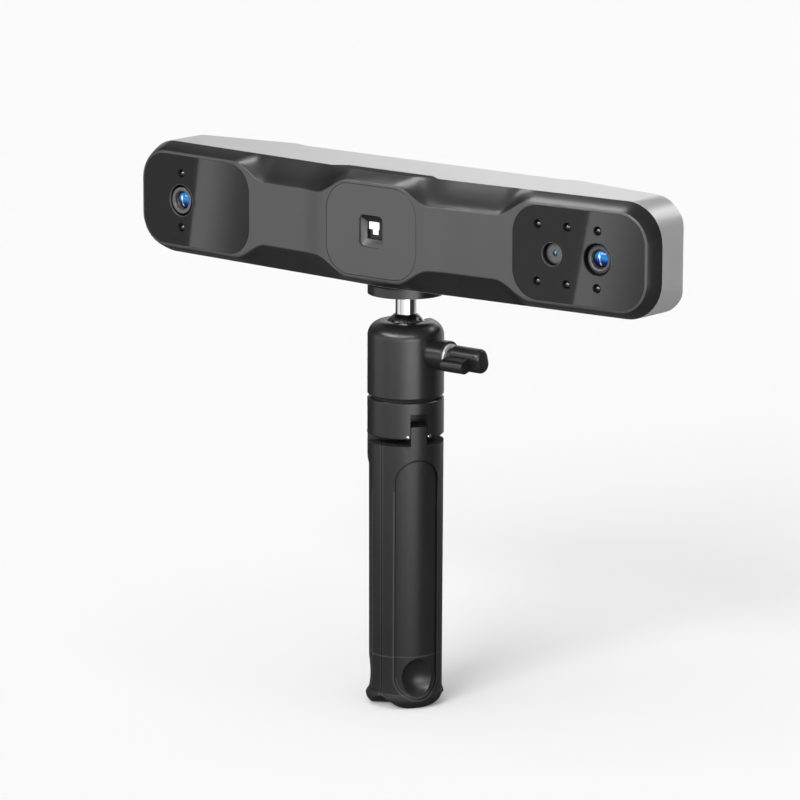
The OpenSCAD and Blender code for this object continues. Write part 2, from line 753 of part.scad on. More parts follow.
// A straight plate with swept pads for the cameras
module optical_frame() {
    pad_back = camera_back + frame_pad_d;
    color("#9fa3a8") difference() {
        union() {
            at_scanner() upright(frame_y, frame_back) rounded(frame_l, frame_h, frame_r);
            at_right_face() at_lens() upright(camera_back, pad_back) square([camera_w, camera_w], true);
            at_right_face() at_color() upright(camera_back, pad_back)
                square([color_camera_w, camera_w], true);
            at_left_face() at_lens() upright(camera_back, pad_back) square([camera_w, camera_w], true);
        }
        at_screws(screw_points) y_bar(screw_d + 2*screw_gap, frame_y - cut, frame_back + cut);
        at_screws(end_points) y_bar(screw_d + 2*screw_gap, frame_y - cut, frame_back + cut);
    }
}

standoff_points = [for (x = [-1, 1], z = [-1, 1]) [x*(board_l/2 - standoff_d), z*(board_h/2 - standoff_d)]];
module main_board() {
    color("#1b5e34") at_scanner() difference() {
        upright(board_y, board_back) rounded(board_l, board_h, module_r);
        for (p = screw_points) translate([p.x, 0, p.y])
            y_bar(boss_d + 2*swing_gap, board_y - cut, board_back + cut);
    }
}
module board_standoffs() {
    color("#c9a24a") at_screws(standoff_points) y_bar(standoff_d, frame_back, board_y);
}
module heat_sink() {
    sink_x = -indicator_x - sink_l/2;
    fin_pitch = sink_l/sink_fins;
    color("#a9adb2") at_scanner() translate([sink_x, 0, 0]) {
        upright(board_back, board_back + sink_base_t) square([sink_l, sink_h], true);
        for (i = [0:sink_fins - 1]) translate([(i + 0.5)*fin_pitch - sink_l/2, 0, 0])
            upright(board_back + sink_base_t - seat_fit, board_back + sink_d)
                square([fin_pitch/2, sink_h], true);
    }
}
module cable_socket() {
    color("#c8c9cc") at_scanner() translate([socket_x, 0, 0]) {
        difference() {
            upright(board_back, rear_mid - socket_sink) rounded(socket_w, socket_h, socket_h/2 - seat_fit);
            upright(rear_mid - socket_depth, rear_mid)
                rounded(socket_w - 2*socket_wall, socket_h - 2*socket_wall,
                    socket_h/2 - socket_wall - seat_fit);
        }
        upright(rear_mid - socket_depth - seat_fit, rear_mid - tongue_sink)
            square([socket_w - 2*tongue_gap, tongue_t], true);
    }
}
button_back = rear_inner - swing_gap - button_flange;
module button_switch() {
    color("#26272a") at_scanner() {
        upright(board_back, board_back + switch_h) square([switch_w, switch_w], true);
        y_bar(plunger_d, board_back + switch_h - seat_fit, button_back - button_travel - plunger_gap);
    }
}
module indicator_light() {
    color("#8fd6a0") at_scanner() translate([indicator_x, 0, 0])
        y_bar(indicator_d, board_back, rear_mid + indicator_proud);
}
module tripod_insert() {
    color("#b8963f") at_handle(scanner_z - scanner_h/2) difference() {
        cylinder(h = insert_h, d = insert_d);
        translate([0, 0, -cut]) cylinder(h = insert_h + 2*cut, d = tripod_screw_d + 2*seat_fit);
    }
}
module shell_screw(x) {
    seat_y = rear_y(x) - 2*screw_head_h;
    difference() {
        union() {
            y_bar(screw_d, frame_y - screw_grip, seat_y + seat_fit);
            y_bar(screw_head_d, seat_y, seat_y + screw_head_h);
        }
        y_bar(drive_d, seat_y + screw_head_h/2, seat_y + screw_head_h + cut, $fn = 6);
    }
}
module shell_screws() {
    color("#77797d") {
        at_screws(screw_points) shell_screw(screw_x);
        at_screws(end_points) shell_screw(screw_end_x);
    }
}
module scan_button() {
    color("#2a2a2c") at_scanner() {
        y_bar(button_d + 2*button_lip, button_back, button_back + button_flange);
        y_bar(button_d, button_back + button_flange - seat_fit, rear_mid + button_proud);
    }
}

// Platform and ball stud
screw_head_z = pad_z - tripod_head_t;
module platform_disc() {
    color("#3b3b3d") at_handle() difference() {
        translate([0, 0, platform_z]) cylinder(h = platform_h, r = head_r);
        translate([0, 0, platform_z - cut]) cylinder(h = platform_h + 2*cut, d = stem_d + 2*run_fit);
        translate([0, 0, screw_head_z]) cylinder(h = platform_h, d = tripod_head_d + 2*seat_fit);
    }
}
module platform_pad() {
    color("#232324") at_handle(pad_z) difference() {
        cylinder(h = pad_h, r = head_r - pad_inset);
        translate([0, 0, -cut]) cylinder(h = pad_h + 2*cut, d = tripod_screw_d + 2*screw_gap);
    }
}
module tripod_screw() {
    color("#8b8d90") at_handle() {
        translate([0, 0, screw_head_z]) cylinder(h = tripod_head_t, d = tripod_head_d);
        translate([0, 0, pad_z - seat_fit]) cylinder(h = pad_h + insert_h - tripod_short, d = tripod_screw_d);
    }
}
module stem() {
    color("#d9dadc") at_handle(ball_z + stem_seat)
        cylinder(h = screw_head_z - 2*seat_fit - ball_z - stem_seat, d = stem_d);
}
module ball() {
    color("#1e1e20") at_handle(ball_z) difference() {
        sphere(r = ball_r);
        translate([0, 0, stem_seat]) cylinder(h = ball_r, d = stem_d + 2*seat_fit);
    }
}

// Head: housing with a spherical socket, a rear notch for the stem and a boss for the lock
seat_floor = ball_z - ball_r - seat_base;
mouth_r = sqrt(pow(socket_r, 2) - pow(rim_rise - mouth_d, 2));
module head_housing() {
    color("#2b2b2d") at_handle() difference() {
        union() {
            translate([0, 0, housing_z]) rotate_extrude() {
                square([head_r, housing_h - shoulder_r]);
                square([head_r - shoulder_r, housing_h]);
                translate([head_r - shoulder_r, housing_h - shoulder_r]) circle(shoulder_r);
            }
            translate([0, 0, lock_z]) x_bar(lock_boss_d, head_r/2, lock_boss_x);
        }
        translate([0, 0, ball_z]) sphere(r = socket_r);
        translate([0, 0, housing_top - mouth_d - cut])
            cylinder(h = mouth_d + 2*cut, r1 = mouth_r - cut, r2 = mouth_r + mouth_d + cut);
        translate([0, 0, seat_floor]) cylinder(h = ball_z - seat_floor, r = socket_r);
        translate([0, 0, ball_z]) y_bar(stem_d + 2*swing_gap, 0, head_r + cut);
        translate([-stem_d/2 - swing_gap, 0, ball_z])
            cube([stem_d + 2*swing_gap, head_r + cut, rim_rise + cut]);
        translate([0, 0, lock_z]) x_bar(lock_screw_d + 2*run_fit, 0, lock_boss_x + cut);
        translate([0, 0, housing_z - cut]) cylinder(h = stud_reach + 2*cut, d = tripod_screw_d + 2*run_fit);
    }
}
module ball_seat() {
    relief_d = lock_screw_d + 2*(seat_travel + seat_gap);
    color("#e4e0d4") at_handle() difference() {
        translate([0, 0, seat_floor + seat_fit]) cylinder(h = seat_h, r = socket_r - seat_gap);
        translate([0, 0, ball_z]) sphere(r = ball_r + seat_gap);
        translate([0, 0, lock_z]) x_bar(relief_d, lock_tip_x - seat_gap, head_r);
    }
}
module lock_screw() {
    color("#8b8d90") at_handle(lock_z) {
        x_bar(lock_screw_d, lock_tip_x + lock_cone, knob_x - knob_cap);
        translate([lock_tip_x, 0, 0]) rotate([0, 90, 0])
            cylinder(h = lock_cone, d1 = lock_tip_d, d2 = lock_screw_d);
    }
}
knob_washer_x = lock_boss_x + seat_fit;
knob_hub_x = knob_washer_x + knob_washer_t;
knob_r = knob_grip_t/2 - 2*seat_fit;
module knob_bar(w, h, r, from, to) {
    translate([from, 0, 0]) rotate([90, 0, 90]) linear_extrude(to - from) rounded(w, h, r);
}
module lock_knob() {
    wing_x = knob_hub_x + knob_wing_set;
    wing_root = knob_grip_t/4;
    color("#1d1d1f") at_handle(lock_z) rotate([knob_turn_deg, 0, 0]) difference() {
        union() {
            x_bar(knob_hub_d, knob_hub_x, knob_hub_x + knob_hub_l + cut);
            knob_bar(knob_grip_t, knob_grip_h, knob_r, knob_hub_x + knob_hub_l, knob_x);
            translate([0, (wing_root - knob_wing_reach)/2, 0]) knob_bar(knob_wing_reach + wing_root,
                knob_wing_t, knob_wing_t/2 - 2*seat_fit, wing_x, wing_x + knob_wing_l);
        }
        x_bar(lock_screw_d + 2*seat_fit, knob_hub_x - cut, knob_x - knob_cap + seat_fit);
    }
}
module knob_washer() {
    color("#d4d5d7") at_handle(lock_z) difference() {
        x_bar(knob_washer_d, knob_washer_x, knob_hub_x);
        x_bar(lock_screw_d + 2*seat_fit, lock_boss_x - cut, knob_hub_x + cut);
    }
}

// Crown and legs
module friction_washer() {
    color("#161617") at_handle(washer_z) difference() {
        cylinder(h = friction_washer_t, r = head_r - friction_inset);
        translate([0, 0, -cut]) cylinder(h = friction_washer_t + 2*cut, d = tripod_screw_d + 2*seat_fit);
    }
}
module head_stud() {
    color("#8b8d90") at_handle(washer_z - stud_sunk)
        cylinder(h = stud_sunk + housing_z - washer_z + stud_reach, d = tripod_screw_d);
}
module hinge_bar(d, l) { translate([pivot_r, l/2, pivot_z]) rotate([90, 0, 0]) cylinder(h = l, d = d); }
pin_l = notch_w + 2*pin_grip;
module crown() {
    color("#2b2b2d") at_handle() difference() {
        translate([0, 0, crown_z]) rotate_extrude() polygon([[0, 0], [head_r - crown_chamfer, 0],
            [head_r, crown_chamfer], [head_r, crown_h - crown_chamfer/2], [head_r - crown_chamfer/2, crown_h],
            [0, crown_h]]);
        for (a = leg_angles) rotate(a) {
            translate([notch_r, -notch_w/2, crown_z - cut])
                cube([head_r, notch_w, pivot_rise + notch_rise + cut]);
            hinge_bar(pin_d + 2*seat_fit, pin_l + 2*seat_fit);
        }
        translate([0, 0, washer_z - stud_sunk - seat_fit])
            cylinder(h = crown_h, d = tripod_screw_d + 2*seat_fit);
    }
}
module hinge_pins() { color("#c9cacc") at_handle() for (a = leg_angles) rotate(a) hinge_bar(pin_d, pin_l); }

// Legs: a third of the handle each, with its face along +x, between radial side planes
module wedge(from, to) {
    tip = leg_gap/2/sin(leg_half_deg);
    reach = 2*head_r;
    side_x = tip + reach*cos(leg_half_deg);
    side_y = reach*sin(leg_half_deg);
    translate([0, 0, from]) linear_extrude(to - from)
        polygon([[tip, 0], [side_x, side_y], [2*reach, side_y], [2*reach, -side_y], [side_x, -side_y]]);
}
module leg_profile(c) {
    rotate_extrude()
        polygon([[0, foot_h], [foot_r - c, foot_h], [head_r - leg_inset - c, leg_top], [0, leg_top]]);
}
module panel() {
    top = leg_top - panel_drop - panel_w/2;
    rotate([90, 0, 90]) linear_extrude(2*head_r) {
        translate([-panel_w/2, dish_z]) square([panel_w, top - dish_z]);
        translate([0, dish_z]) circle(d = panel_w);
        translate([0, top]) circle(d = panel_w);
    }
}
module knuckle() {
    low = leg_top - knuckle_root;
    intersection() {
        translate([0, 0, low - cut]) cylinder(h = crown_h, r = head_r - leg_inset);
        union() {
            hinge_bar(2*knuckle_r, knuckle_w);
            translate([pivot_r, -knuckle_w/2, pivot_z]) cube([head_r, knuckle_w, knuckle_rise]);
            translate([pivot_r - knuckle_r, -knuckle_w/2, low]) cube([head_r, knuckle_w, pivot_z - low]);
        }
    }
}
module leg(i) {
    color("#29292b") at_leg(i) difference() {
        union() {
            difference() {
                intersection() {
                    wedge(foot_h + seat_fit, leg_top);
                    leg_profile(0);
                }
                difference() {
                    panel();
                    leg_profile(panel_d);
                }
                translate([0, 0, foot_h]) cylinder(h = leg_h + cut, d = core_d);
            }
            knuckle();
        }
        hinge_bar(pin_d + 2*run_fit, knuckle_w + 2*cut);
    }
}
module foot_profile(c) {
    rotate_extrude() {
        polygon([[0, 0], [foot_r - foot_round - c, 0], [foot_r - c, foot_round],
            [foot_r - c, foot_h], [0, foot_h]]);
        translate([foot_r + foot_lip - foot_lip_r - c, foot_lip_r]) circle(foot_lip_r);
    }
}
module foot(i) {
    end_z = foot_end_r - foot_flat;
    dish_r = (dish_d*dish_d/4 + dish_depth*dish_depth)/(2*dish_depth);
    color("#232325") at_leg(i) difference() {
        intersection() {
            wedge(0, foot_h);
            foot_profile(0);
            rotate([90, 0, 90]) linear_extrude(2*head_r) {
                translate([0, end_z]) circle(foot_end_r);
                translate([-foot_end_r, end_z]) square([2*foot_end_r, foot_h]);
            }
        }
        difference() {
            panel();
            foot_profile(panel_d);
        }
        translate([foot_r + foot_lip - dish_depth + dish_r - panel_d, 0, dish_z]) sphere(dish_r);
        translate([0, 0, -cut]) cylinder(h = foot_h + 2*cut, d = core_d);
    }
}
module right_leg() { leg(0); }
module left_leg() { leg(1); }
module rear_leg() { leg(2); }
module right_foot() { foot(0); }
module left_foot() { foot(1); }
module rear_foot() { foot(2); }

front_cover();
rear_shell();
left_window();
right_window();
projector_plate();
projector_glass();
left_lens_barrel();
right_lens_barrel();
left_lens_glass();
right_lens_glass();
color_lens_bezel();
color_lens_glass();
depth_lamps();
fill_lamps();
left_lamp_board();
right_lamp_board();
left_camera();
right_camera();
color_camera();
projector_module();
optical_frame();
main_board();
board_standoffs();
heat_sink();
cable_socket();
button_switch();
indicator_light();
tripod_insert();
shell_screws();
scan_button();
platform_disc();
platform_pad();
tripod_screw();
stem();
ball();
head_housing();
ball_seat();
lock_screw();
lock_knob();
knob_washer();
friction_washer();
head_stud();
crown();
hinge_pins();
right_leg();
left_leg();
rear_leg();
right_foot();
left_foot();
rear_foot();
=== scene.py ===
"""Looks of a handheld three-d scanner: a bar of three pods on a ball head and a folding mini tripod."""

import json
import logging
import math
from dataclasses import dataclass, field
from enum import Enum
from typing import Any, Callable, Optional, Union

import bpy
from mathutils import Matrix, Quaternion, Vector

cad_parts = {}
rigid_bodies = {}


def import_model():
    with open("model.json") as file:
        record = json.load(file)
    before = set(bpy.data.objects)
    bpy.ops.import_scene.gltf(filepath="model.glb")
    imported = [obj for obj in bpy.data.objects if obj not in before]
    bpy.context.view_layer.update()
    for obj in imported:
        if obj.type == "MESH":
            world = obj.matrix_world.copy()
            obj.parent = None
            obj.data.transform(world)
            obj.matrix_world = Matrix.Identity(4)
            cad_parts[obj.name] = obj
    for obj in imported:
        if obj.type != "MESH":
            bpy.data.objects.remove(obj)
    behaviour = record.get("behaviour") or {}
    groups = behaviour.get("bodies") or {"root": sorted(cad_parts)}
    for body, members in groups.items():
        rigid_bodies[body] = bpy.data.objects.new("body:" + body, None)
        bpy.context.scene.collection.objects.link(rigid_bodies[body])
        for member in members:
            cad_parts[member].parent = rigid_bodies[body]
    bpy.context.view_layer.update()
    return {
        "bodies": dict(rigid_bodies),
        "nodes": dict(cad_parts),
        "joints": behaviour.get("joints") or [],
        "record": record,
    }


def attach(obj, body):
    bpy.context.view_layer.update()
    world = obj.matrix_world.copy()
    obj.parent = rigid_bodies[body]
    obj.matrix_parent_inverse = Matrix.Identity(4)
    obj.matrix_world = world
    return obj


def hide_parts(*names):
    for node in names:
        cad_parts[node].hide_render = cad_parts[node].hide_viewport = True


log = logging.getLogger("scanner")
Triple = tuple[float, float, float]
Profile = list[tuple[float, float]]
Stops = list[tuple[float, Any]]
Levels = tuple[tuple[float, float], ...]
Test = Callable[[Vector], bool]
MM = 0.001
UP = Vector((0, 0, 1))
SHARP = 32.0
FINE_FLAT = 0.02
NO_LIGHT: Triple = (0.0, 0.0, 0.0)
SOFT_RISE: Levels = ((0.0, 0.0), (0.15, 1.0), (0.85, 1.0), (1.0, 0.0))


def arithmetic(operation: str, swapped: bool = False) -> Callable[..., "Value"]:
    """Makes one of the arithmetic methods of a value.

    Args:
        operation: What the Math node does.
        swapped: Whether the other operand comes first.

    Returns:
        The method, which adds a Math node and gives its result.
    """

    def method(value: "Value", other: Any = 0.0) -> "Value":
        """Adds the Math node for two operands."""
        pair = (other, value) if swapped else (value, other)
        return value.nodes.node("ShaderNodeMath", {"operation": operation}, dict(enumerate(pair)))

    return method


class Value:
    """A node's output that takes part in Python arithmetic.

    Args:
        nodes: The tree that holds the output.
        socket: The output socket that carries the value.
    """

    def __init__(self, nodes: "Nodes", socket: bpy.types.NodeSocket) -> None:
        self.nodes = nodes
        self.socket = socket

    __add__ = arithmetic("ADD")
    __radd__ = arithmetic("ADD", True)
    __sub__ = arithmetic("SUBTRACT")
    __mul__ = arithmetic("MULTIPLY")
    __truediv__ = arithmetic("DIVIDE")
    __pow__ = arithmetic("POWER")
    __gt__ = arithmetic("GREATER_THAN")
    __lt__ = arithmetic("LESS_THAN")
    __abs__ = arithmetic("ABSOLUTE")


class Nodes:
    """A node tree under construction.

    Args:
        tree: The tree, which is emptied.
        output: Type of its output node.
    """

    def __init__(self, tree: bpy.types.NodeTree, output: str) -> None:
        self.tree = tree
        self.tree.nodes.clear()
        self.output = self.tree.nodes.new(output)

    def node(self, kind: str, settings: dict, inputs: dict, out: Union[int, str] = 0) -> Value:
        """Adds a node, sets it and links or fills its inputs.

        Args:
            kind: The node's type.
            settings: Properties that are set first; "stops" fills a colour ramp.
            inputs: Values or links by socket name or index.
            out: The output that is returned.

        Returns:
            The chosen output as a value.
        """
        made = self.tree.nodes.new(kind)
        for key, value in settings.items():
            if key == "stops":
                self._fill_ramp(made.color_ramp, value)
            else:
                setattr(made, key, value)
        for key, value in inputs.items():
            if isinstance(value, Value):
                self.tree.links.new(value.socket, made.inputs[key])
            else:
                made.inputs[key].default_value = value
        return Value(self, made.outputs[out])

    @staticmethod
    def _fill_ramp(ramp: bpy.types.ColorRamp, stops: Stops) -> None:
        """Sets a ramp's stops, given as place and grey level or colour."""
        while len(ramp.elements) > 1:
            ramp.elements.remove(ramp.elements[-1])
        for index, (place, level) in enumerate(stops):
            element = ramp.elements[0] if index == 0 else ramp.elements.new(place)
            element.position = place
            element.color = (*level, 1) if isinstance(level, tuple) else (level, level, level, 1)

    def seen(self) -> Value:
        """One for rays that show a surface straight, by gloss or through glass, else zero."""
        path = self.node("ShaderNodeLightPath", {}, {}, "Is Camera Ray")
        outputs = path.socket.node.outputs
        gloss = Value(self, outputs["Is Glossy Ray"])
        through = Value(self, outputs["Is Transmission Ray"])
        return self.node("ShaderNodeClamp", {}, {"Value": path + gloss + through})

    def close(self, shown: Value) -> None:
        """Links a result to the tree's output."""
        self.tree.links.new(shown.socket, self.output.inputs["Surface"])


class Shader(Nodes):
    """A material under construction.

    Args:
        name: The material's name.
    """

    def __init__(self, name: str) -> None:
        self.material = bpy.data.materials.new(name)
        self.material.use_nodes = True
        super().__init__(self.material.node_tree, "ShaderNodeOutputMaterial")
        self.coordinates = self.node("ShaderNodeTexCoord", {}, {}, "Object")

    def noise(self, scale: float, detail: float = 2.0, stretch: Optional[Triple] = None) -> Value:
        """Noise over the piece, in features per metre, stretched per axis where asked."""
        place = self.coordinates
        if stretch is not None:
            place = self.node("ShaderNodeMapping", {}, {"Vector": place, "Scale": stretch})
        return self.node("ShaderNodeTexNoise", {}, {"Vector": place, "Scale": scale, "Detail": detail})

    def ramp(self, value: Value, stops: Stops) -> Value:
        """Passes a value through a colour ramp."""
        return self.node("ShaderNodeValToRGB", {"stops": stops}, {"Fac": value})

    def mix(self, factor: Any, first: Any, second: Any) -> Value:
        """Mixes two colours by a factor."""
        first = (*first, 1) if isinstance(first, tuple) else first
        second = (*second, 1) if isinstance(second, tuple) else second
        return self.node("ShaderNodeMix", {"data_type": "RGBA"}, {0: factor, 6: first, 7: second}, 2)

    def mottled(self, factor: Value, colour: Triple, low: float, high: float) -> Value:
        """Varies a colour between two shares of itself."""
        return self.mix(factor, tuple(c * low for c in colour), tuple(min(1.0, c * high) for c in colour))

    def plastic(self, colour: Triple, roughness: float, scale: float) -> tuple[Value, Value, Value]:
        """Patterns of moulded plastic.

        Args:
            colour: Its mean colour.
            roughness: Its mean roughness.
            scale: Features of the spark-eroded grain, per metre.

        Returns:
            The colour, the roughness and the grain.
        """
        cloud = self.noise(38.0, 4.0)
        grain = self.noise(scale, 3.0)
        rough = roughness + (cloud - 0.5) * 0.1 + (grain - 0.5) * 0.08
        return self.mottled(cloud * 0.7 + grain * 0.3, colour, 0.9, 1.1), rough, grain

    def bump(self, height: Value, depth: float, strength: float) -> Value:
        """Turns a height pattern into a normal."""
        return self.node("ShaderNodeBump", {}, {"Height": height, "Distance": depth, "Strength": strength})

    def axis(self, name: str) -> Value:
        """One coordinate of the piece's surface, in metres."""
        return self.node("ShaderNodeSeparateXYZ", {}, {"Vector": self.coordinates}, name)

    def vector(self, operation: str, first: Any, second: Any, out: str = "Value") -> Value:
        """Adds one Vector Math node and returns its result."""
        return self.node("ShaderNodeVectorMath", {"operation": operation}, {0: first, 1: second}, out)

    def distance(self, point: Vector) -> Value:
        """Distance of the surface from a point, in metres."""
        return self.vector("DISTANCE", self.coordinates, point)

    def surface(self, inputs: dict) -> bpy.types.Material:
        """Closes the material with a principled surface, set or linked by socket name."""
        self.close(self.node("ShaderNodeBsdfPrincipled", {}, inputs))
        return self.material

    def glow(self, shade: Value, peak: float) -> bpy.types.Material:
        """Closes the material as plain light, given as a shade and its strength."""
        self.close(self.node("ShaderNodeEmission", {}, {"Color": shade, "Strength": peak}))
        return self.material


@dataclass(frozen=True)
class Moulded:
    """Moulded plastic with a spark-eroded grain and faint handling marks."""

    name: str
    colour: Triple
    roughness: float = 0.4
    grain: float = 5200.0
    depth: float = 0.00003
    strength: float = 0.18
    specular: float = 0.5
    coat: float = 0.0

    def build(self) -> bpy.types.Material:
        """Makes the material."""
        shader = Shader(self.name)
        colour, rough, grain = shader.plastic(self.colour, self.roughness, self.grain)
        return shader.surface({
            "Base Color": colour,
            "Roughness": rough,
            "Specular IOR Level": self.specular,
            "Coat Weight": self.coat,
            "Coat Roughness": 0.12,
            "Normal": shader.bump(grain, self.depth, self.strength),
        })


@dataclass(frozen=True)
class Grip:
    """Moulded leg of the handle, with a sunk line around its panel that is painted dark as shade over the
    panel's top, bright edges that are painted highlights, and a dull top and a heel that are painted dark as
    shade.
    """

    name: str
    angle: float
    handle_y: float
    colour: Triple = (0.012, 0.012, 0.0125)
    roughness: float = 0.34
    grain: float = 3800.0
    panel_r: float = 10.4
    panel_low: float = 14.9
    panel_high: float = 106.8
    line_w: float = 0.42
    seam_z: float = 24.8
    seam_w: float = 0.3
    top_z: float = 123.9
    crown_z: float = 127.0
    knuckle_half: float = 3.9
    dish_r: float = 9.4
    highlight_w: float = 0.35
    highlight_off: float = 0.4
    highlight_end: float = 4.0
    leg_edge: float = 14.95
    heel_z: float = 8.0

    @staticmethod
    def stroke(shader: Shader, off: Value, width: float) -> Value:
        """A soft line where a distance is near zero."""
        return shader.ramp(abs(off) / width, [(0.0, 1.0), (0.45, 0.8), (1.0, 0.0)])

    def build(self) -> bpy.types.Material:
        """Makes the material."""
        shader = Shader(self.name)
        turn = math.radians(self.angle)
        across = shader.axis("X") * (-math.sin(turn) / MM)
        across = across + (shader.axis("Y") / MM - self.handle_y) * math.cos(turn)
        height = shader.axis("Z") / MM
        ends = {"Value": height, "Min": self.panel_low, "Max": self.panel_high}
        rise = height - shader.node("ShaderNodeClamp", {}, ends)
        drop = height - self.panel_low
        off = (across * across + rise * rise) ** 0.5 - self.panel_r
        dish = (across * across + drop * drop) ** 0.5 - self.dish_r
        # Painted shade: a dark line over the panel's arched top, where the step casts a shadow; the same mask
        # sinks a groove by bump.
        line = self.stroke(shader, off, self.line_w) * (height > self.panel_high)
        # Painted highlights: light lines beside the panel's edge, around the foot's dish and along the leg's
        # side edges, where those edges catch light.
        ridge_highlight = self.stroke(shader, off - self.highlight_off, self.highlight_w)
        ridge_highlight = ridge_highlight * (height < self.panel_high - self.highlight_end)
        bowl_highlight = self.stroke(shader, dish, self.highlight_w) * (height < self.panel_low)
        side = self.stroke(shader, abs(across) - self.leg_edge, self.highlight_w)
        # Painted highlight: a light line where the leg meets the foot.
        seam_highlight = shader.ramp(abs(height - self.seam_z) / self.seam_w, [(0.0, 1.0), (0.5, 0.7), (1.0, 0.0)])
        # Painted shade: below heel_z, near the floor, the leg is darker, and also rougher.
        heel = height < self.heel_z
        # Painted shade: the leg's top under the crown, beside the knuckle, is darkened where the crown shades
        # it, and made rougher.
        top = (height > self.top_z) * (height < self.crown_z) * (abs(across) > self.knuckle_half)
        colour, rough, grain = shader.plastic(self.colour, self.roughness, self.grain)
        # Tones mixed in: painted shade on the heel, painted highlights on the edges and along the leg-to-foot
        # join, painted shade on the line over the panel and on the top.
        for share, tone in (
            (heel * 0.75, (0.003, 0.003, 0.003)),
            (ridge_highlight * 0.55 + bowl_highlight * 0.5 + side * 0.45, (0.075, 0.075, 0.076)),
            (line * 0.75, (0.003, 0.003, 0.003)),
            (seam_highlight * 0.8, (0.07, 0.07, 0.071)),
            (top * 0.9, (0.002, 0.002, 0.002)),
        ):
            colour = shader.mix(share, colour, tone)
        return shader.surface({
            "Base Color": colour,
            "Roughness": rough + top * 0.5 + heel * 0.3,
            "Normal": shader.bump(grain * 0.12 - line, 0.00025, 0.5),
        })


@dataclass(frozen=True)
class MetalPaint:
    """Silver paint with fine metal flakes under a satin clear coat."""

    name: str
    colour: Triple
    roughness: float = 0.42
    metallic: float = 0.35
    flakes: float = 9000.0

    def build(self) -> bpy.types.Material:
        """Makes the material."""
        shader = Shader(self.name)
        cells = {"Vector": shader.coordinates, "Scale": self.flakes}
        flake = shader.node("ShaderNodeTexVoronoi", {}, cells, "Color")
        spark = shader.node("ShaderNodeSeparateColor", {}, {"Color": flake}, "Red")
        peel = shader.noise(900.0)
        cloud = shader.noise(24.0, 3.0)
        return shader.surface({
            "Base Color": shader.mottled(spark * 0.6 + cloud * 0.4, self.colour, 0.93, 1.07),
            "Metallic": self.metallic,
            "Roughness": self.roughness + (spark - 0.5) * 0.1 + (cloud - 0.5) * 0.06,
            "Coat Weight": 0.25,
            "Coat Roughness": 0.2,
            "Normal": shader.bump(peel, 0.00002, 0.1),
        })


@dataclass(frozen=True)
class Smoked:
    """Gloss smoked sheet of the lens windows, with a hard coat and a trace of dust."""

    name: str
    colour: Triple = (0.013, 0.013, 0.0137)
    roughness: float = 0.012

    def build(self) -> bpy.types.Material:
        """Makes the material."""
        shader = Shader(self.name)
        wipe = shader.noise(30.0, 4.0, (1.0, 1.0, 3.0))
        specks = shader.ramp(shader.noise(2600.0, 1.0), [(0.0, 0.0), (0.74, 0.0), (0.8, 1.0)])
        return shader.surface({
            "Base Color": shader.mix(specks * 0.12, self.colour, (0.2, 0.2, 0.2)),
            "Roughness": self.roughness + wipe * 0.02 + specks * 0.1,
            "Specular IOR Level": 0.55,
            "Coat Weight": 0.3,
            "Coat Roughness": 0.03,
        })


@dataclass(frozen=True)
class CoatedWithPaintedReflection:
    """Lens glass with a coloured coating and a painted reflection: bright above, dark below, with a pale
    painted streak and a faint painted glow.
    """

    name: str
    centre: Vector
    axis: Vector
    radius: float
    bright: Triple
    deep: Triple
    rim: Triple = (0.004, 0.005, 0.012)
    painted_ghost: float = 1.0

    def build(self) -> bpy.types.Material:
        """Makes the material."""
        shader = Shader(self.name)
        off = shader.vector("SUBTRACT", shader.coordinates, self.centre, "Vector")
        across = shader.vector("DOT_PRODUCT", off, UP.cross(self.axis).normalized()) / self.radius
        height = (shader.axis("Z") - self.centre.z) / self.radius
        # Painted reflection: from dark below to bright above, with a pale streak.
        share = height * 0.5 + 0.5
        stops = [(0.12, self.rim), (0.36, self.deep), (0.62, self.bright), (0.95, self.bright)]
        glow = shader.ramp(share + across * 0.08, stops)
        lean = abs(across + 0.08 + height * 0.19)
        spread = shader.ramp(share, [(0.1, 0.2), (0.3, 0.08), (0.5, 0.07), (0.66, 0.2), (0.8, 0.1)])
        streak = shader.ramp(lean / spread, [(0.0, 1.0), (0.4, 0.85), (1.0, 0.0)])
        fade = [(0.1, 0.0), (0.2, 0.5), (0.4, 0.3), (0.6, 1.0), (0.72, 0.9), (0.84, 0.0)]
        painted_ghost = shader.mix(streak * shader.ramp(share, fade) * self.painted_ghost, glow, (0.8, 0.86, 1.0))
        wide = shader.distance(self.centre) / self.radius
        edge = shader.ramp(wide, [(0.0, 0.0), (0.9, 0.0), (1.02, 1.0)])
        return shader.surface({
            "Base Color": shader.mix(edge, painted_ghost, self.rim),
            "Roughness": 0.05,
            "Specular IOR Level": 0.25,
            # Painted light: the glass glows faintly in its painted colours.
            "Emission Color": shader.mix(edge, painted_ghost, NO_LIGHT),
            "Emission Strength": 0.35,
        })


@dataclass(frozen=True)
class Disc:
    """Grey disc around the colour lens that darkens towards its edge, a painted shade."""

    name: str
    centre: Vector
    radius: float
    colour: Triple = (0.085, 0.085, 0.087)
    dark: Triple = (0.008, 0.008, 0.0082)

    def build(self) -> bpy.types.Material:
        """Makes the material."""
        shader = Shader(self.name)
        grain = shader.noise(5200.0, 3.0)
        wide = shader.distance(self.centre) / self.radius
        shade = shader.ramp(wide, [(0.0, 0.0), (0.8, 0.0), (0.92, 1.0)])
        return shader.surface({
            "Base Color": shader.mix(shade, self.colour, self.dark),
            "Roughness": 0.36 + (grain - 0.5) * 0.1,
            "Normal": shader.bump(grain, 0.00003, 0.18),
        })


class Wave(Enum):
    """Ways in which the marks on metal run, as a pattern's scale per axis."""

    TURNED = (0.05, 0.05, 1.0)
    BRUSHED = (0.04, 1.0, 1.0)


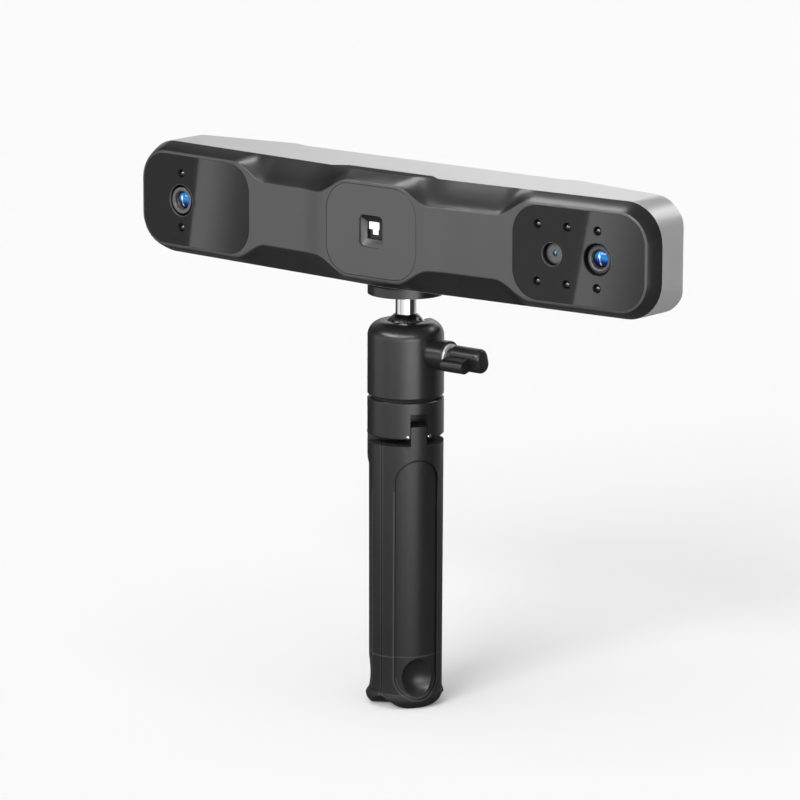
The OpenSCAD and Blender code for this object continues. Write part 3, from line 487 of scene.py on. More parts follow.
@dataclass(frozen=True)
class Metal:
    """Bare or plated metal with turning or brushing marks."""

    name: str
    colour: Triple
    roughness: float
    wave: Wave
    depth: float = 0.00001

    def build(self) -> bpy.types.Material:
        """Makes the material."""
        shader = Shader(self.name)
        marks = shader.noise(4200.0, 2.0, self.wave.value)
        cloud = shader.noise(60.0, 3.0)
        return shader.surface({
            "Base Color": shader.mottled(cloud * 0.6 + marks * 0.4, self.colour, 0.92, 1.0),
            "Metallic": 1.0,
            "Roughness": self.roughness + (marks - 0.5) * 0.12 + (cloud - 0.5) * 0.05,
            "Normal": shader.bump(marks, self.depth, 0.12),
        })


@dataclass(frozen=True)
class PaintedGlintGlass:
    """Dark projector glass with a frosted grain and a white, faintly glowing patch, a painted glint."""

    name: str
    middle_z: float
    middle_x: float = -1.3
    half_w: float = 2.9
    top: float = 2.9
    step_x: float = -0.7
    step_z: float = -0.6
    foot: float = -2.9
    foot_inset: float = 0.5

    def build(self) -> bpy.types.Material:
        """Makes the material."""
        shader = Shader(self.name)
        frost = shader.noise(2400.0, 3.0)
        x = shader.axis("X") / MM - self.middle_x
        z = shader.axis("Z") / MM - self.middle_z
        # Painted reflection: an L-shaped white patch on the dark glass.
        upper = (x > -self.half_w) * (x < self.half_w) * (z > self.step_z) * (z < self.top)
        lower = (x > self.step_x) * (x < self.half_w - self.foot_inset)
        glint_patch = upper + lower * (z > self.foot) * (z < self.step_z)
        white = shader.mix(frost, (0.8, 0.81, 0.82), (0.95, 0.95, 0.95))
        return shader.surface({
            "Base Color": shader.mix(glint_patch, (0.006, 0.006, 0.0062), white),
            "Roughness": 0.16 + frost * 0.1,
            "Specular IOR Level": 0.3,
            # Painted light: the patch glows faintly.
            "Emission Color": shader.mix(glint_patch, NO_LIGHT, (1.0, 1.0, 1.0)),
            "Emission Strength": 0.4,
        })


@dataclass(frozen=True)
class Laminate:
    """Circuit board with a colour mask over a woven core."""

    name: str
    colour: Triple = (0.012, 0.09, 0.035)

    def build(self) -> bpy.types.Material:
        """Makes the material."""
        shader = Shader(self.name)
        checks = {"Vector": shader.coordinates, "Scale": 1800.0}
        weave = shader.node("ShaderNodeTexChecker", {}, checks, "Fac")
        tracks = shader.noise(420.0, 1.0, (1.0, 1.0, 0.15))
        copper = shader.ramp(tracks, [(0.0, 0.0), (0.54, 0.0), (0.56, 1.0)])
        return shader.surface({
            "Base Color": shader.mottled(copper * 0.7 + weave * 0.1, self.colour, 1.0, 1.9),
            "Roughness": 0.34 + weave * 0.06,
            "Coat Weight": 0.2,
            "Normal": shader.bump(copper, 0.00002, 0.3),
        })


class Finish(Enum):
    """Named finishes of the scanner's pieces."""

    COVER = Moulded("cover_grey", (0.051, 0.051, 0.0522), 0.42)
    BEVEL = Moulded("bevel_black", (0.014, 0.014, 0.0145), 0.3)
    TAB = Moulded("tab_black", (0.011, 0.011, 0.0115), 0.6, specular=0.06)
    # Lighter grey for funnel and aperture walls that look right, a painted light.
    FUNNEL_PAINTED_LIGHT = Moulded("funnel_painted_light", (0.075, 0.075, 0.0765), 0.42)
    PLATE = Moulded("plate_grey", (0.054, 0.054, 0.0552), 0.4)
    SHELL = MetalPaint("shell_silver", (0.46, 0.46, 0.465))
    WINDOW = Smoked("window_smoke")
    PROJECTOR = PaintedGlintGlass("projector_painted_glint", 224.9)
    BARREL = Moulded("barrel_dark", (0.02, 0.02, 0.021), 0.36)
    RING = Moulded("ring_grey", (0.08, 0.08, 0.082), 0.3)
    # Lighter grey for the rings in the lens holes, a painted light on the hole's wall.
    RIM_PAINTED_LIGHT = Moulded("rim_painted_light", (0.07, 0.07, 0.071), 0.36)
    CUP = Moulded("cup_black", (0.008, 0.008, 0.008), 0.3)
    LAMP = Moulded("lamp_resin", (0.03, 0.03, 0.033), 0.08, 900.0, 0.00001, 0.05, 0.7, 1.0)
    BOARD = Laminate("board_green")
    LAMP_BOARD = Laminate("board_black", (0.004, 0.0045, 0.0042))
    MODULE = Moulded("module_black", (0.02, 0.02, 0.022), 0.5)
    FRAME = Metal("frame_aluminium", (0.62, 0.63, 0.65), 0.32, Wave.BRUSHED)
    BRASS = Metal("brass", (0.72, 0.52, 0.22), 0.26, Wave.TURNED)
    STEEL = Metal("steel", (0.58, 0.58, 0.59), 0.24, Wave.TURNED)
    # Near-white paint on the steel washer, a painted highlight.
    WASHER_PAINTED_HIGHLIGHT = MetalPaint("washer_painted_highlight", (0.82, 0.82, 0.83), 0.3)
    CHROME = Metal("chrome", (0.54, 0.54, 0.55), 0.05, Wave.TURNED, 0.000002)
    GREEN_LIGHT = Moulded("indicator_light", (0.3, 0.62, 0.36), 0.14, 900.0, 0.00001, 0.05, 0.5, 0.6)
    BLACK = Moulded("black_plastic", (0.011, 0.011, 0.0115), 0.3)
    # Lighter grey for rounded edges, a painted highlight where the edges catch light.
    PAINTED_EDGE_HIGHLIGHT = Moulded("painted_edge_highlight", (0.06, 0.06, 0.0605), 0.3, 4600.0, 0.00003, 0.12)
    HEAD = Moulded("head_black", (0.011, 0.011, 0.0115), 0.3, 4600.0, 0.00003, 0.12, 0.55)
    BALL = Metal("ball_black", (0.15, 0.15, 0.155), 0.26, Wave.TURNED, 0.000002)
    RUBBER = Moulded("pad_rubber", (0.016, 0.016, 0.016), 0.7, 2400.0, 0.00008, 0.4, 0.3)
    NYLON = Moulded("seat_nylon", (0.68, 0.65, 0.56), 0.44)


class Paintbox:
    """Makes each finish once and hands it out."""

    def __init__(self) -> None:
        self.made: dict[str, bpy.types.Material] = {}

    def get(self, finish: Any) -> bpy.types.Material:
        """Returns the material of a finish, given as an option or as its own object."""
        recipe = finish.value if isinstance(finish, Finish) else finish
        if recipe.name not in self.made:
            self.made[recipe.name] = recipe.build()
        return self.made[recipe.name]


@dataclass(frozen=True)
class Look:
    """A piece's finish, the body that it rides on and the record's material slot."""

    finish: Any
    body: str
    slot: str


class Bench:
    """The maker's bench: modelling moves that the sub-assemblies share.

    Args:
        paint: The finishes.
    """

    def __init__(self, frame: dict, paint: Paintbox) -> None:
        self.frame = frame
        self.paint = paint

    @staticmethod
    def clear() -> None:
        """Deselects everything, outside edit mode."""
        if bpy.context.mode != "OBJECT":
            bpy.ops.object.mode_set(mode="OBJECT")
        bpy.ops.object.select_all(action="DESELECT")

    def take(self, piece: bpy.types.Object) -> None:
        """Makes one piece the only selected and active one."""
        self.clear()
        piece.select_set(True)
        bpy.context.view_layer.objects.active = piece

    def add_finishes(self, piece: bpy.types.Object, *finishes: Any) -> None:
        """Adds finishes to a piece, each with the next number for its faces."""
        for finish in finishes:
            piece.data.materials.append(self.paint.get(finish))

    def paint_node(self, node: str, finish: Any) -> None:
        """Gives a carried-over solid its finish."""
        solid = self.frame["nodes"][node]
        if not solid.material_slots:
            solid.data.materials.append(None)
        for holder in solid.material_slots:
            holder.material = self.paint.get(finish)
        log.info("%s keeps its solid", node)

    def copy_node(self, node: str, flat: float = 0.4) -> bpy.types.Object:
        """Copies a solid's mesh into a new piece, with its loose triangles joined.

        Args:
            node: The solid's name.
            flat: Greatest angle between triangles that are joined, in degrees.

        Returns:
            The new piece.
        """
        source = self.frame["nodes"][node]
        piece = bpy.data.objects.new(f"{node}_skin", source.data.copy())
        piece.data.name = piece.name
        bpy.context.scene.collection.objects.link(piece)
        piece.data.materials.clear()
        self.take(piece)
        bpy.ops.object.mode_set(mode="EDIT")
        bpy.ops.mesh.select_all(action="SELECT")
        bpy.ops.mesh.remove_doubles(threshold=0.000002)
        bpy.ops.mesh.customdata_custom_splitnormals_clear()
        bpy.ops.mesh.dissolve_limited(angle_limit=math.radians(flat))
        bpy.ops.object.mode_set(mode="OBJECT")
        return piece

    def soften(self, piece: bpy.types.Object, width: float, segments: int, limit: float = SHARP,
               keep: Optional[Test] = None, slot: int = -1) -> None:
        """Rounds a piece's sharp edges.

        Args:
            piece: The piece.
            width: Width of the rounding, in millimetres.
            segments: Steps of the rounding.
            limit: Least angle between faces that counts as sharp, in degrees.
            keep: Test of an edge's middle; only edges that pass are rounded.
            slot: Place of the rounding's own finish on the piece, or -1 for none.
        """
        self.take(piece)
        self.pick_edges(piece.data, limit, keep)
        bpy.ops.object.mode_set(mode="EDIT")
        bpy.ops.mesh.bevel(offset=width * MM, offset_type="OFFSET", segments=segments, profile=0.5,
                           clamp_overlap=True, material=slot)
        bpy.ops.object.mode_set(mode="OBJECT")

    @staticmethod
    def pick_edges(mesh: bpy.types.Mesh, limit: float, keep: Optional[Test]) -> None:
        """Selects a mesh's sharp outward edges that pass a test.

        Args:
            mesh: The mesh, in object mode.
            limit: Least angle between faces, in degrees.
            keep: Test of an edge's middle, or None for all.
        """
        bpy.context.tool_settings.mesh_select_mode = (False, True, False)
        faces: dict[tuple[int, int], list[int]] = {}
        for polygon in mesh.polygons:
            polygon.select = False
            for key in polygon.edge_keys:
                faces.setdefault(key, []).append(polygon.index)
        for vertex in mesh.vertices:
            vertex.select = False
        for edge in mesh.edges:
            beside = faces.get(tuple(sorted(edge.vertices)), [])
            edge.select = False
            if len(beside) != 2:
                continue
            first, second = (mesh.polygons[index] for index in beside)
            turn = math.degrees(first.normal.angle(second.normal, 0.0))
            outward = (second.center - first.center).dot(first.normal) < 0
            middle = (mesh.vertices[edge.vertices[0]].co + mesh.vertices[edge.vertices[1]].co) / 2
            edge.select = outward and turn >= limit and (keep is None or keep(middle))

    def smooth(self, piece: bpy.types.Object, angle: float) -> None:
        """Shades a piece smooth up to an angle between faces, in degrees, and keeps its flats flat."""
        self.take(piece)
        bpy.ops.object.shade_smooth_by_angle(angle=math.radians(angle))
        weigh = piece.modifiers.new("flat_faces", "WEIGHTED_NORMAL")
        weigh.keep_sharp = True
        bpy.ops.object.modifier_apply(modifier=weigh.name)

    def dress(self, piece: bpy.types.Object, look: Look, nodes: tuple[str, ...] = ()) -> None:
        """Gives a piece its finish and ties it to the frame.

        Args:
            piece: The piece.
            look: Its finish, body and slot.
            nodes: Solids that it stands for.
        """
        if not piece.data.materials:
            self.add_finishes(piece, look.finish)
        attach(piece, look.body)
        if nodes:
            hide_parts(*nodes)
        log.info("%s rides on %s", piece.name, look.body)

    def skin(self, node: str, look: Look, width: float, segments: int, angle: float = 34.0,
             edge: Optional[Finish] = None) -> bpy.types.Object:
        """Stands a rounded, smooth copy in for a solid.

        Args:
            node: The solid's name.
            look: Its finish, body and slot.
            width: Width of the rounding, in millimetres; none where it is zero.
            segments: Steps of the rounding.
            angle: Greatest angle that is shaded smooth, in degrees.
            edge: Finish of the rounding, where it has its own.

        Returns:
            The new piece.
        """
        piece = self.copy_node(node)
        self.add_finishes(piece, *filter(None, (look.finish, edge)))
        if width > 0:
            self.soften(piece, width, segments, max(SHARP, angle), None, 1 if edge else -1)
        self.smooth(piece, angle)
        self.dress(piece, look, (node,))
        return piece

    def turned(self, name: str, profile: Profile, centre: Vector, axis: Vector, look: Look,
               angle: float = 40.0, steps: int = 96, nodes: tuple[str, ...] = ()) -> None:
        """Turns a closed or axis-to-axis profile on a lathe, and dresses the piece.

        Args:
            name: The piece's name.
            profile: Points as radius and height along the axis, in millimetres.
            centre: Where height zero of the axis lies, in metres.
            axis: The axis's direction.
            look: Its finish, body and slot.
            angle: Greatest angle that is shaded smooth, in degrees.
            steps: Steps of the turn.
            nodes: Solids that it stands for.
        """
        points = [(radius * MM, height * MM) for radius, height in profile]
        self.clear()
        bpy.ops.mesh.primitive_plane_add(size=1.0, location=(0, 0, 0))
        piece = bpy.context.object
        bpy.ops.object.mode_set(mode="EDIT")
        bpy.ops.mesh.select_mode(type="VERT")
        bpy.ops.mesh.delete(type="ONLY_FACE")
        bpy.ops.mesh.select_all(action="SELECT")
        bpy.ops.mesh.merge(type="CENTER")
        bpy.ops.transform.translate(value=(points[0][0], 0, points[0][1]))
        for last, point in zip(points, points[1:]):
            step = (point[0] - last[0], 0, point[1] - last[1])
            bpy.ops.mesh.extrude_region_move(TRANSFORM_OT_translate={"value": step})
        bpy.ops.mesh.select_all(action="SELECT")
        bpy.ops.mesh.spin(steps=steps, angle=2 * math.pi, center=(0, 0, 0), axis=(0, 0, 1))
        bpy.ops.mesh.select_all(action="SELECT")
        bpy.ops.mesh.remove_doubles(threshold=0.000001)
        bpy.ops.mesh.normals_make_consistent(inside=False)
        bpy.ops.object.mode_set(mode="OBJECT")
        piece.rotation_mode = "QUATERNION"
        piece.rotation_quaternion = UP.rotation_difference(axis)
        piece.location = centre
        piece.name = name
        piece.data.name = name
        self.take(piece)
        bpy.ops.object.transform_apply(location=True, rotation=True, scale=True)
        self.smooth(piece, angle)
        self.dress(piece, look, nodes)


@dataclass(frozen=True)
class Layout:
    """Places that the sub-assemblies share, in millimetres."""

    apex_y: float = -23.1
    scanner_z: float = 223.95
    sweep: float = math.radians(3.9)
    plate_half: float = 26.0
    plate_blend: float = 16.0
    handle_y: float = 2.5
    length: float = 300.0
    height: float = 52.6
    corner_r: float = 18.0

    def on_face(self, side: int, x: float, depth: float, z: float = 0.0) -> Vector:
        """Finds a point on one of the two swept faces.

        Args:
            side: 1 for the right face, -1 for the left face.
            x: Distance along the face from the middle.
            depth: Distance behind the face.
            z: Height above the middle.

        Returns:
            The point, in metres.
        """
        across = x * math.cos(self.sweep) - depth * math.sin(self.sweep)
        inward = self.apex_y + x * math.sin(self.sweep) + depth * math.cos(self.sweep)
        return Vector((side * across, inward, self.scanner_z + z)) * MM

    def out_of_face(self, side: int) -> Vector:
        """Direction in which a swept face looks."""
        return Vector((side * math.sin(self.sweep), -math.cos(self.sweep), 0.0))

    def swept_back(self, x: float) -> float:
        """How far the sweep sets the face back at a distance from the middle."""
        return abs(x) * math.tan(self.sweep)

    def face_y(self, x: float) -> float:
        """Depth of the front face at a distance from the middle."""
        share = min(1.0, max(0.0, (abs(x) - self.plate_half) / self.plate_blend))
        share = share * share * (3 - 2 * share)
        return self.apex_y + self.swept_back(x) * share

    def off_middle(self, z: float) -> float:
        """Distance of a height from the scanner's middle."""
        return abs(z - self.scanner_z)

    def off_outline(self, point: Vector) -> float:
        """Distance of a point in metres from the scanner's outline seen from the front."""
        wide = abs(point.x / MM) - (self.length / 2 - self.corner_r)
        high = self.off_middle(point.z / MM) - (self.height / 2 - self.corner_r)
        reach = math.hypot(wide, high) if wide > 0 and high > 0 else max(wide, high)
        return abs(reach - self.corner_r)


@dataclass
class Housing:
    """Front cover, rear shell, windows and the projector's plate; sizes in millimetres."""

    bench: Bench
    place: Layout
    body: str = "scanner"
    face_edge: float = 0.4
    cover_d: float = 7.2
    tab_edge: float = 0.5
    tab_half: float = 40.0
    funnel_half: float = 7.6
    funnel_d: float = 3.25
    aperture_half: float = 7.5
    rim_round: float = 1.3
    rim_y: float = 8.0
    rim_near: float = 0.25
    heel_round: float = 4.5
    heel_x: float = 112.0
    heel_drop: float = 8.0

    def build(self) -> None:
        """Makes and dresses every piece of the housing."""
        self.cover()
        self.shell()
        for node in ("left_window", "right_window"):
            self.bench.skin(node, Look(Finish.WINDOW, self.body, "window_smoke"), 0.12, 2, 30.0)
        self.plate()
        glass = Look(Finish.PROJECTOR, self.body, "projector_glass")
        self.bench.skin("projector_glass", glass, 0.2, 2, 30.0)

    def cover(self) -> None:
        """Front cover: grey face with its bright edge, black bevels around it."""
        piece = self.bench.copy_node("front_cover", FINE_FLAT)
        self.bench.smooth(piece, 24.0)
        self.bench.dress(piece, Look(Finish.COVER, self.body, "cover_grey"), ("front_cover",))
        self.bench.add_finishes(piece, Finish.BEVEL, Finish.TAB, Finish.FUNNEL_PAINTED_LIGHT)
        for polygon in piece.data.polygons:
            polygon.material_index = self.cover_slot(polygon.center / MM, polygon.normal)

    def cover_slot(self, middle: Vector, normal: Vector) -> int:
        """Chooses the finish of one face of the cover.

        Args:
            middle: The face's middle, in millimetres.
            normal: The direction that it looks in.

        Returns:
            0 for the grey front, 1 for the black bevel, 2 for the top tab, 3 for the funnel's side that looks
            right, painted lighter as painted light; the funnel's faces that look down or left keep the black
            bevel, a painted shade on its top slope.
        """
        back = self.place.apex_y + self.place.swept_back(middle.x) + self.cover_d
        if normal.z > 0.9 and abs(middle.x) < self.tab_half and middle.y > back - self.tab_edge:
            return 2
        if middle.y < self.place.face_y(middle.x) + self.face_edge:
            return 0
        in_funnel = max(abs(middle.x), self.place.off_middle(middle.z)) < self.funnel_half
        in_front = middle.y < self.place.apex_y + self.funnel_d
        # Painted light and shade: funnel faces that look right get the lighter finish, faces that look down
        # stay black.
        if in_funnel and in_front and normal.z > -0.2 and normal.x > -0.2:
            return 3 if normal.x > 0.2 else 0
        return 1

    def plate(self) -> None:
        """Projector plate with a broad edge around its aperture."""
        piece = self.bench.copy_node("projector_plate")
        self.bench.soften(piece, 0.4, 3, SHARP, self.at_aperture)
        self.bench.soften(piece, 0.15, 2, 60.0, lambda point: not self.at_aperture(point))
        self.bench.smooth(piece, 30.0)
        self.bench.dress(piece, Look(Finish.PLATE, self.body, "cover_grey"), ("projector_plate",))
        self.bench.add_finishes(piece, Finish.FUNNEL_PAINTED_LIGHT, Finish.BEVEL)
        # Painted light and shade inside the aperture: walls that look right get the lighter finish, walls
        # that look down the black bevel finish.
        for polygon in piece.data.polygons:
            inner = self.in_aperture(polygon.center)
            if inner and polygon.normal.x > 0.5:
                polygon.material_index = 1
            elif inner and polygon.normal.z < -0.5:
                polygon.material_index = 2

    def in_aperture(self, point: Vector) -> bool:
        """Says whether a point lies within the aperture's square."""
        return max(abs(point.x / MM), self.place.off_middle(point.z / MM)) < self.aperture_half

    def at_aperture(self, point: Vector) -> bool:
        """Says whether an edge's middle lies on the aperture's front edge."""
        return self.in_aperture(point) and point.y < (self.place.apex_y + 0.1) * MM

    def shell(self) -> None:
        """Rear shell with a rounded rear rim and rounder lower ends."""
        piece = self.bench.copy_node("rear_shell", FINE_FLAT)
        self.bench.soften(piece, self.heel_round, 6, 40.0, self.on_heel)
        self.bench.soften(piece, self.rim_round, 4, 40.0, self.on_rear_rim)
        self.bench.smooth(piece, 32.0)
        self.bench.dress(piece, Look(Finish.SHELL, self.body, "shell_silver"), ("rear_shell",))

    def on_heel(self, point: Vector) -> bool:
        """Says whether an edge's middle lies on the lower rear rim of an end."""
        low = point.z < (self.place.scanner_z - self.heel_drop) * MM
        return low and abs(point.x) > self.heel_x * MM and self.on_rear_rim(point)

    def on_rear_rim(self, point: Vector) -> bool:
        """Says whether an edge's middle lies on the shell's outer rear rim."""
        return point.y > self.rim_y * MM and self.place.off_outline(point) < self.rim_near


@dataclass(frozen=True)
class DepthLens:
    """One depth lens: its name, its side, and where its lip and glass lie, in millimetres."""

    name: str
    side: int
    lip_depth: float
    lip_r: float
    glass_front: float


@dataclass
class Optics:
    """Depth lenses, colour lens and the lamps around them; sizes in millimetres."""

    bench: Bench
    place: Layout
    body: str = "scanner"
    lenses: tuple[DepthLens, ...] = (
        DepthLens("left", -1, 0.35, 6.16, 1.0),
        DepthLens("right", 1, 2.0, 5.45, 2.6),
    )
    lens_x: float = 121.54
    color_x: float = 97.84
    lamp_z: float = 12.8
    lamp_dx: float = 7.75
    glass_r: float = 3.8
    dome_r: float = 6.0
    barrel_depth: float = 2.5
    step_depth: float = 3.0
    lens_hole_r: float = 7.7
    color_hole_r: float = 5.5
    color_front: float = 2.9
    color_glass_r: float = 1.3
    disc_r: float = 4.9
    cup_r: float = 2.06
    cup_depth: float = 0.7

    def build(self) -> None:
        """Makes and dresses every lens and lamp."""
        for lens in self.lenses:
            self.depth_lens(lens)
        self.colour_lens()
        self.lamps()

    def depth_lens(self, lens: DepthLens) -> None:
        """Makes one depth lens: barrel, bright lip, retaining collar and coated glass."""
        bench = self.bench
        name = lens.name
        out = self.place.out_of_face(lens.side)
        barrel = Look(Finish.BARREL, self.body, "barrel_grey")
        bench.skin(f"{name}_lens_barrel", barrel, 0.08, 2, 30.0)
        drop = self.barrel_depth - lens.lip_depth
        outer = lens.lip_r
        lip = [(4.4, -drop), (outer, -drop), (outer, 0.0), (outer - 0.12, 0.12), (outer - 0.26, 0.14),
               (4.75, 0.02), (4.5, -0.2), (4.4, -0.3), (4.4, -drop)]
        seat = self.place.on_face(lens.side, self.lens_x, lens.lip_depth)
        bench.turned(f"{name}_lens_lip", lip, seat, out, Look(Finish.RING, self.body, "barrel_grey"), 30.0)
        collar = [(3.9, 0.0), (4.24, 0.0), (4.24, 0.3), (4.18, 0.36), (3.98, 0.36), (3.9, 0.28), (3.9, 0.0)]
        step = self.place.on_face(lens.side, self.lens_x, self.step_depth)
        bench.turned(f"{name}_lens_collar", collar, step, out, barrel, 30.0)
        self.trim(f"{name}_lens_trim", lens.side, self.lens_x, self.lens_hole_r)
        middle = self.place.on_face(lens.side, self.lens_x, lens.glass_front)
        coating = CoatedWithPaintedReflection(f"coating_blue_{name}", middle, out, self.glass_r * MM,
                         (0.01, 0.15, 0.42), (0.005, 0.016, 0.12))
        glass = Look(coating, self.body, "lens_blue")
        bench.skin(f"{name}_lens_glass", glass, 0.0, 2, 40.0)
        if lens.glass_front < self.barrel_depth:
            self.front_element(name, glass, middle, out)

    def front_element(self, name: str, glass: Look, middle: Vector, out: Vector) -> None:
        """Makes the domed front glass of a depth lens, with a black ring that holds it.

        Args:
            name: The side's name.
            glass: The look of the lens glass.
            middle: The dome's top.
            out: The direction that the lens looks in.
        """
        reach = self.glass_r + 0.1
        steps = [reach * i / 8 for i in range(9)]
        dome = [(r, math.sqrt(self.dome_r ** 2 - r ** 2) - self.dome_r) for r in steps]
        dome += [(reach, -2.0), (0, -2.0)]
        self.bench.turned(f"{name}_lens_front", dome, middle, out, glass)
        hold = [(reach, -1.9), (4.42, -1.9), (4.42, -1.0), (4.36, -0.94), (reach + 0.06, -1.2),
                (reach, -1.32), (reach, -1.9)]
        ring = Look(Finish.BARREL, self.body, "barrel_grey")
        self.bench.turned(f"{name}_lens_hold", hold, middle, out, ring)

    def trim(self, name: str, side: int, x: float, hole_r: float) -> None:
        """Makes a fine ring that lines the mouth of a lens hole, in a lighter grey that is painted light for
        the lit wall of the hole.

        Args:
            name: The ring's name.
            side: 1 for the right face, -1 for the left face.
            x: Distance of the hole along the face.
            hole_r: Radius of the hole.
        """
        shape = [(0.3, -0.9), (0.03, -0.9), (0.03, 0.0), (0.09, 0.05), (0.2, 0.03), (0.3, -0.1), (0.3, -0.9)]
        profile = [(hole_r - inset, height) for inset, height in shape]
        self.bench.turned(name, profile, self.place.on_face(side, x, 0.0), self.place.out_of_face(side),
                          Look(Finish.RIM_PAINTED_LIGHT, self.body, "barrel_grey"))

    def colour_lens(self) -> None:
        """Makes the colour lens: grey bezel disc with a small coated glass."""
        self.trim("color_lens_trim", 1, self.color_x, self.color_hole_r)
        middle = self.place.on_face(1, self.color_x, self.color_front)
        disc = Disc("bezel_disc", middle, self.disc_r * MM)
        self.bench.skin("color_lens_bezel", Look(disc, self.body, "bezel_grey"), 0.25, 3, 30.0)
        coating = CoatedWithPaintedReflection("coating_cyan", middle, self.place.out_of_face(1), self.color_glass_r * MM,
                         (0.03, 0.12, 0.13), (0.015, 0.04, 0.045), painted_ghost=0.9)
        self.bench.skin("color_lens_glass", Look(coating, self.body, "lens_cyan"), 0.0, 2, 40.0)

    def lamps(self) -> None:
        """Makes the lamps, each in a black cup."""
        for node in ("depth_lamps", "fill_lamps"):
            self.bench.skin(node, Look(Finish.LAMP, self.body, "lamp_clear"), 0.0, 2, 40.0)
        pair = (-1, 1)
        spots = [(side, self.lens_x, up * self.lamp_z) for side in pair for up in pair]
        spots += [(1, self.color_x + off * self.lamp_dx, up * self.lamp_z) for off in pair for up in pair]
        cup = [(self.cup_r, 0.0), (self.cup_r, -1.9), (1.45, -1.9), (1.5, -1.7), (1.8, -0.9), (1.92, -0.1),
               (1.96, 0.0), (self.cup_r, 0.0)]
        look = Look(Finish.CUP, self.body, "module_black")
        for index, (side, x, z) in enumerate(spots):
            centre = self.place.on_face(side, x, self.cup_depth, z)
            self.bench.turned(f"lamp_cup_{index}", cup, centre, self.place.out_of_face(side), look, steps=48)


@dataclass
class Inside:
    """Boards, modules and fasteners inside the housing, kept as their solids."""

    bench: Bench
    nodes: dict[Finish, tuple[str, ...]] = field(default_factory=lambda: {
        Finish.LAMP_BOARD: ("left_lamp_board", "right_lamp_board"),
        Finish.BOARD: ("main_board",),
        Finish.MODULE: ("left_camera", "right_camera", "color_camera", "projector_module", "button_switch"),
        Finish.FRAME: ("optical_frame", "heat_sink"),
        Finish.BRASS: ("board_standoffs", "tripod_insert"),
        Finish.STEEL: ("tripod_screw", "head_stud", "lock_screw"),
        Finish.NYLON: ("ball_seat",),
    })

    def build(self) -> None:
        """Gives each hidden solid its finish."""
        for finish, nodes in self.nodes.items():
            for node in nodes:
                self.bench.paint_node(node, finish)


@dataclass
class RearControls:
    """Scan button, indicator, cable socket and shell screws on the rear; sizes in millimetres."""

    bench: Bench
    place: Layout
    body: str = "scanner"
    button_back: float = 17.3
    tongue_half: float = 0.45

    def build(self) -> None:
        """Makes and dresses the controls."""
        profile = [(0, 0), (7.5, 0), (7.5, 1.0), (6.0, 1.0), (6.0, 3.95), (5.93, 4.2), (5.75, 4.35),
                   (5.5, 4.4), (5.0, 4.4), (4.7, 4.36), (3.6, 4.12), (2.2, 3.97), (1.0, 3.92), (0, 3.9)]
        centre = Vector((0, self.button_back, self.place.scanner_z)) * MM
        cap = Look(Finish.BLACK, "button", "black_plastic")
        self.bench.turned("scan_button_cap", profile, centre, Vector((0, 1, 0)), cap, nodes=("scan_button",))
        light = Look(Finish.GREEN_LIGHT, self.body, "indicator")
        self.bench.skin("indicator_light", light, 0.35, 4, 40.0)
        steel = Look(Finish.STEEL, self.body, "steel")
        self.bench.skin("shell_screws", steel, 0.15, 2, 30.0)
        socket = self.bench.skin("cable_socket", steel, 0.06, 2, 30.0)
        self.bench.add_finishes(socket, Finish.MODULE)
        for polygon in socket.data.polygons:
            on_tongue = self.place.off_middle(polygon.center.z / MM) < self.tongue_half
            polygon.material_index = 1 if on_tongue else 0


@dataclass
class BallHead:
    """Platform, ball stud, head housing and lock knob; sizes in millimetres."""

    bench: Bench
    grip_end: float = 45.2
    wing_end: float = 41.2
    end_round: float = 2.2
    wing_round: float = 0.9

    def build(self) -> None:
        """Makes and dresses the ball head."""
        skin = self.bench.skin
        skin("platform_disc", Look(Finish.HEAD, "scanner", "black_metal"), 0.5, 4)
        skin("platform_pad", Look(Finish.RUBBER, "scanner", "pad_rubber"), 0.2, 2)
        skin("stem", Look(Finish.CHROME, "stud", "chrome"), 0.25, 3)
        skin("ball", Look(Finish.BALL, "stud", "black_metal"), 0.15, 2)
        # The housing's rounded edges get the lighter edge finish, a painted highlight.
        skin("head_housing", Look(Finish.HEAD, "head", "black_metal"), 0.35, 3, edge=Finish.PAINTED_EDGE_HIGHLIGHT)
        self.knob()
        # The washer wears the near-white finish, a painted highlight.
        skin("knob_washer", Look(Finish.WASHER_PAINTED_HIGHLIGHT, "knob", "chrome"), 0.15, 2)

    def knob(self) -> None:
        """Lock knob: a paddle grip with a full round end and a softer wing."""
        piece = self.bench.copy_node("lock_knob")
        self.bench.soften(piece, self.end_round, 6, SHARP, lambda point: point.x > self.grip_end * MM)
        self.bench.soften(piece, self.wing_round, 4, 40.0, lambda point: point.x < self.wing_end * MM)
        self.bench.smooth(piece, 34.0)
        self.bench.dress(piece, Look(Finish.BLACK, "knob", "black_plastic"), ("lock_knob",))


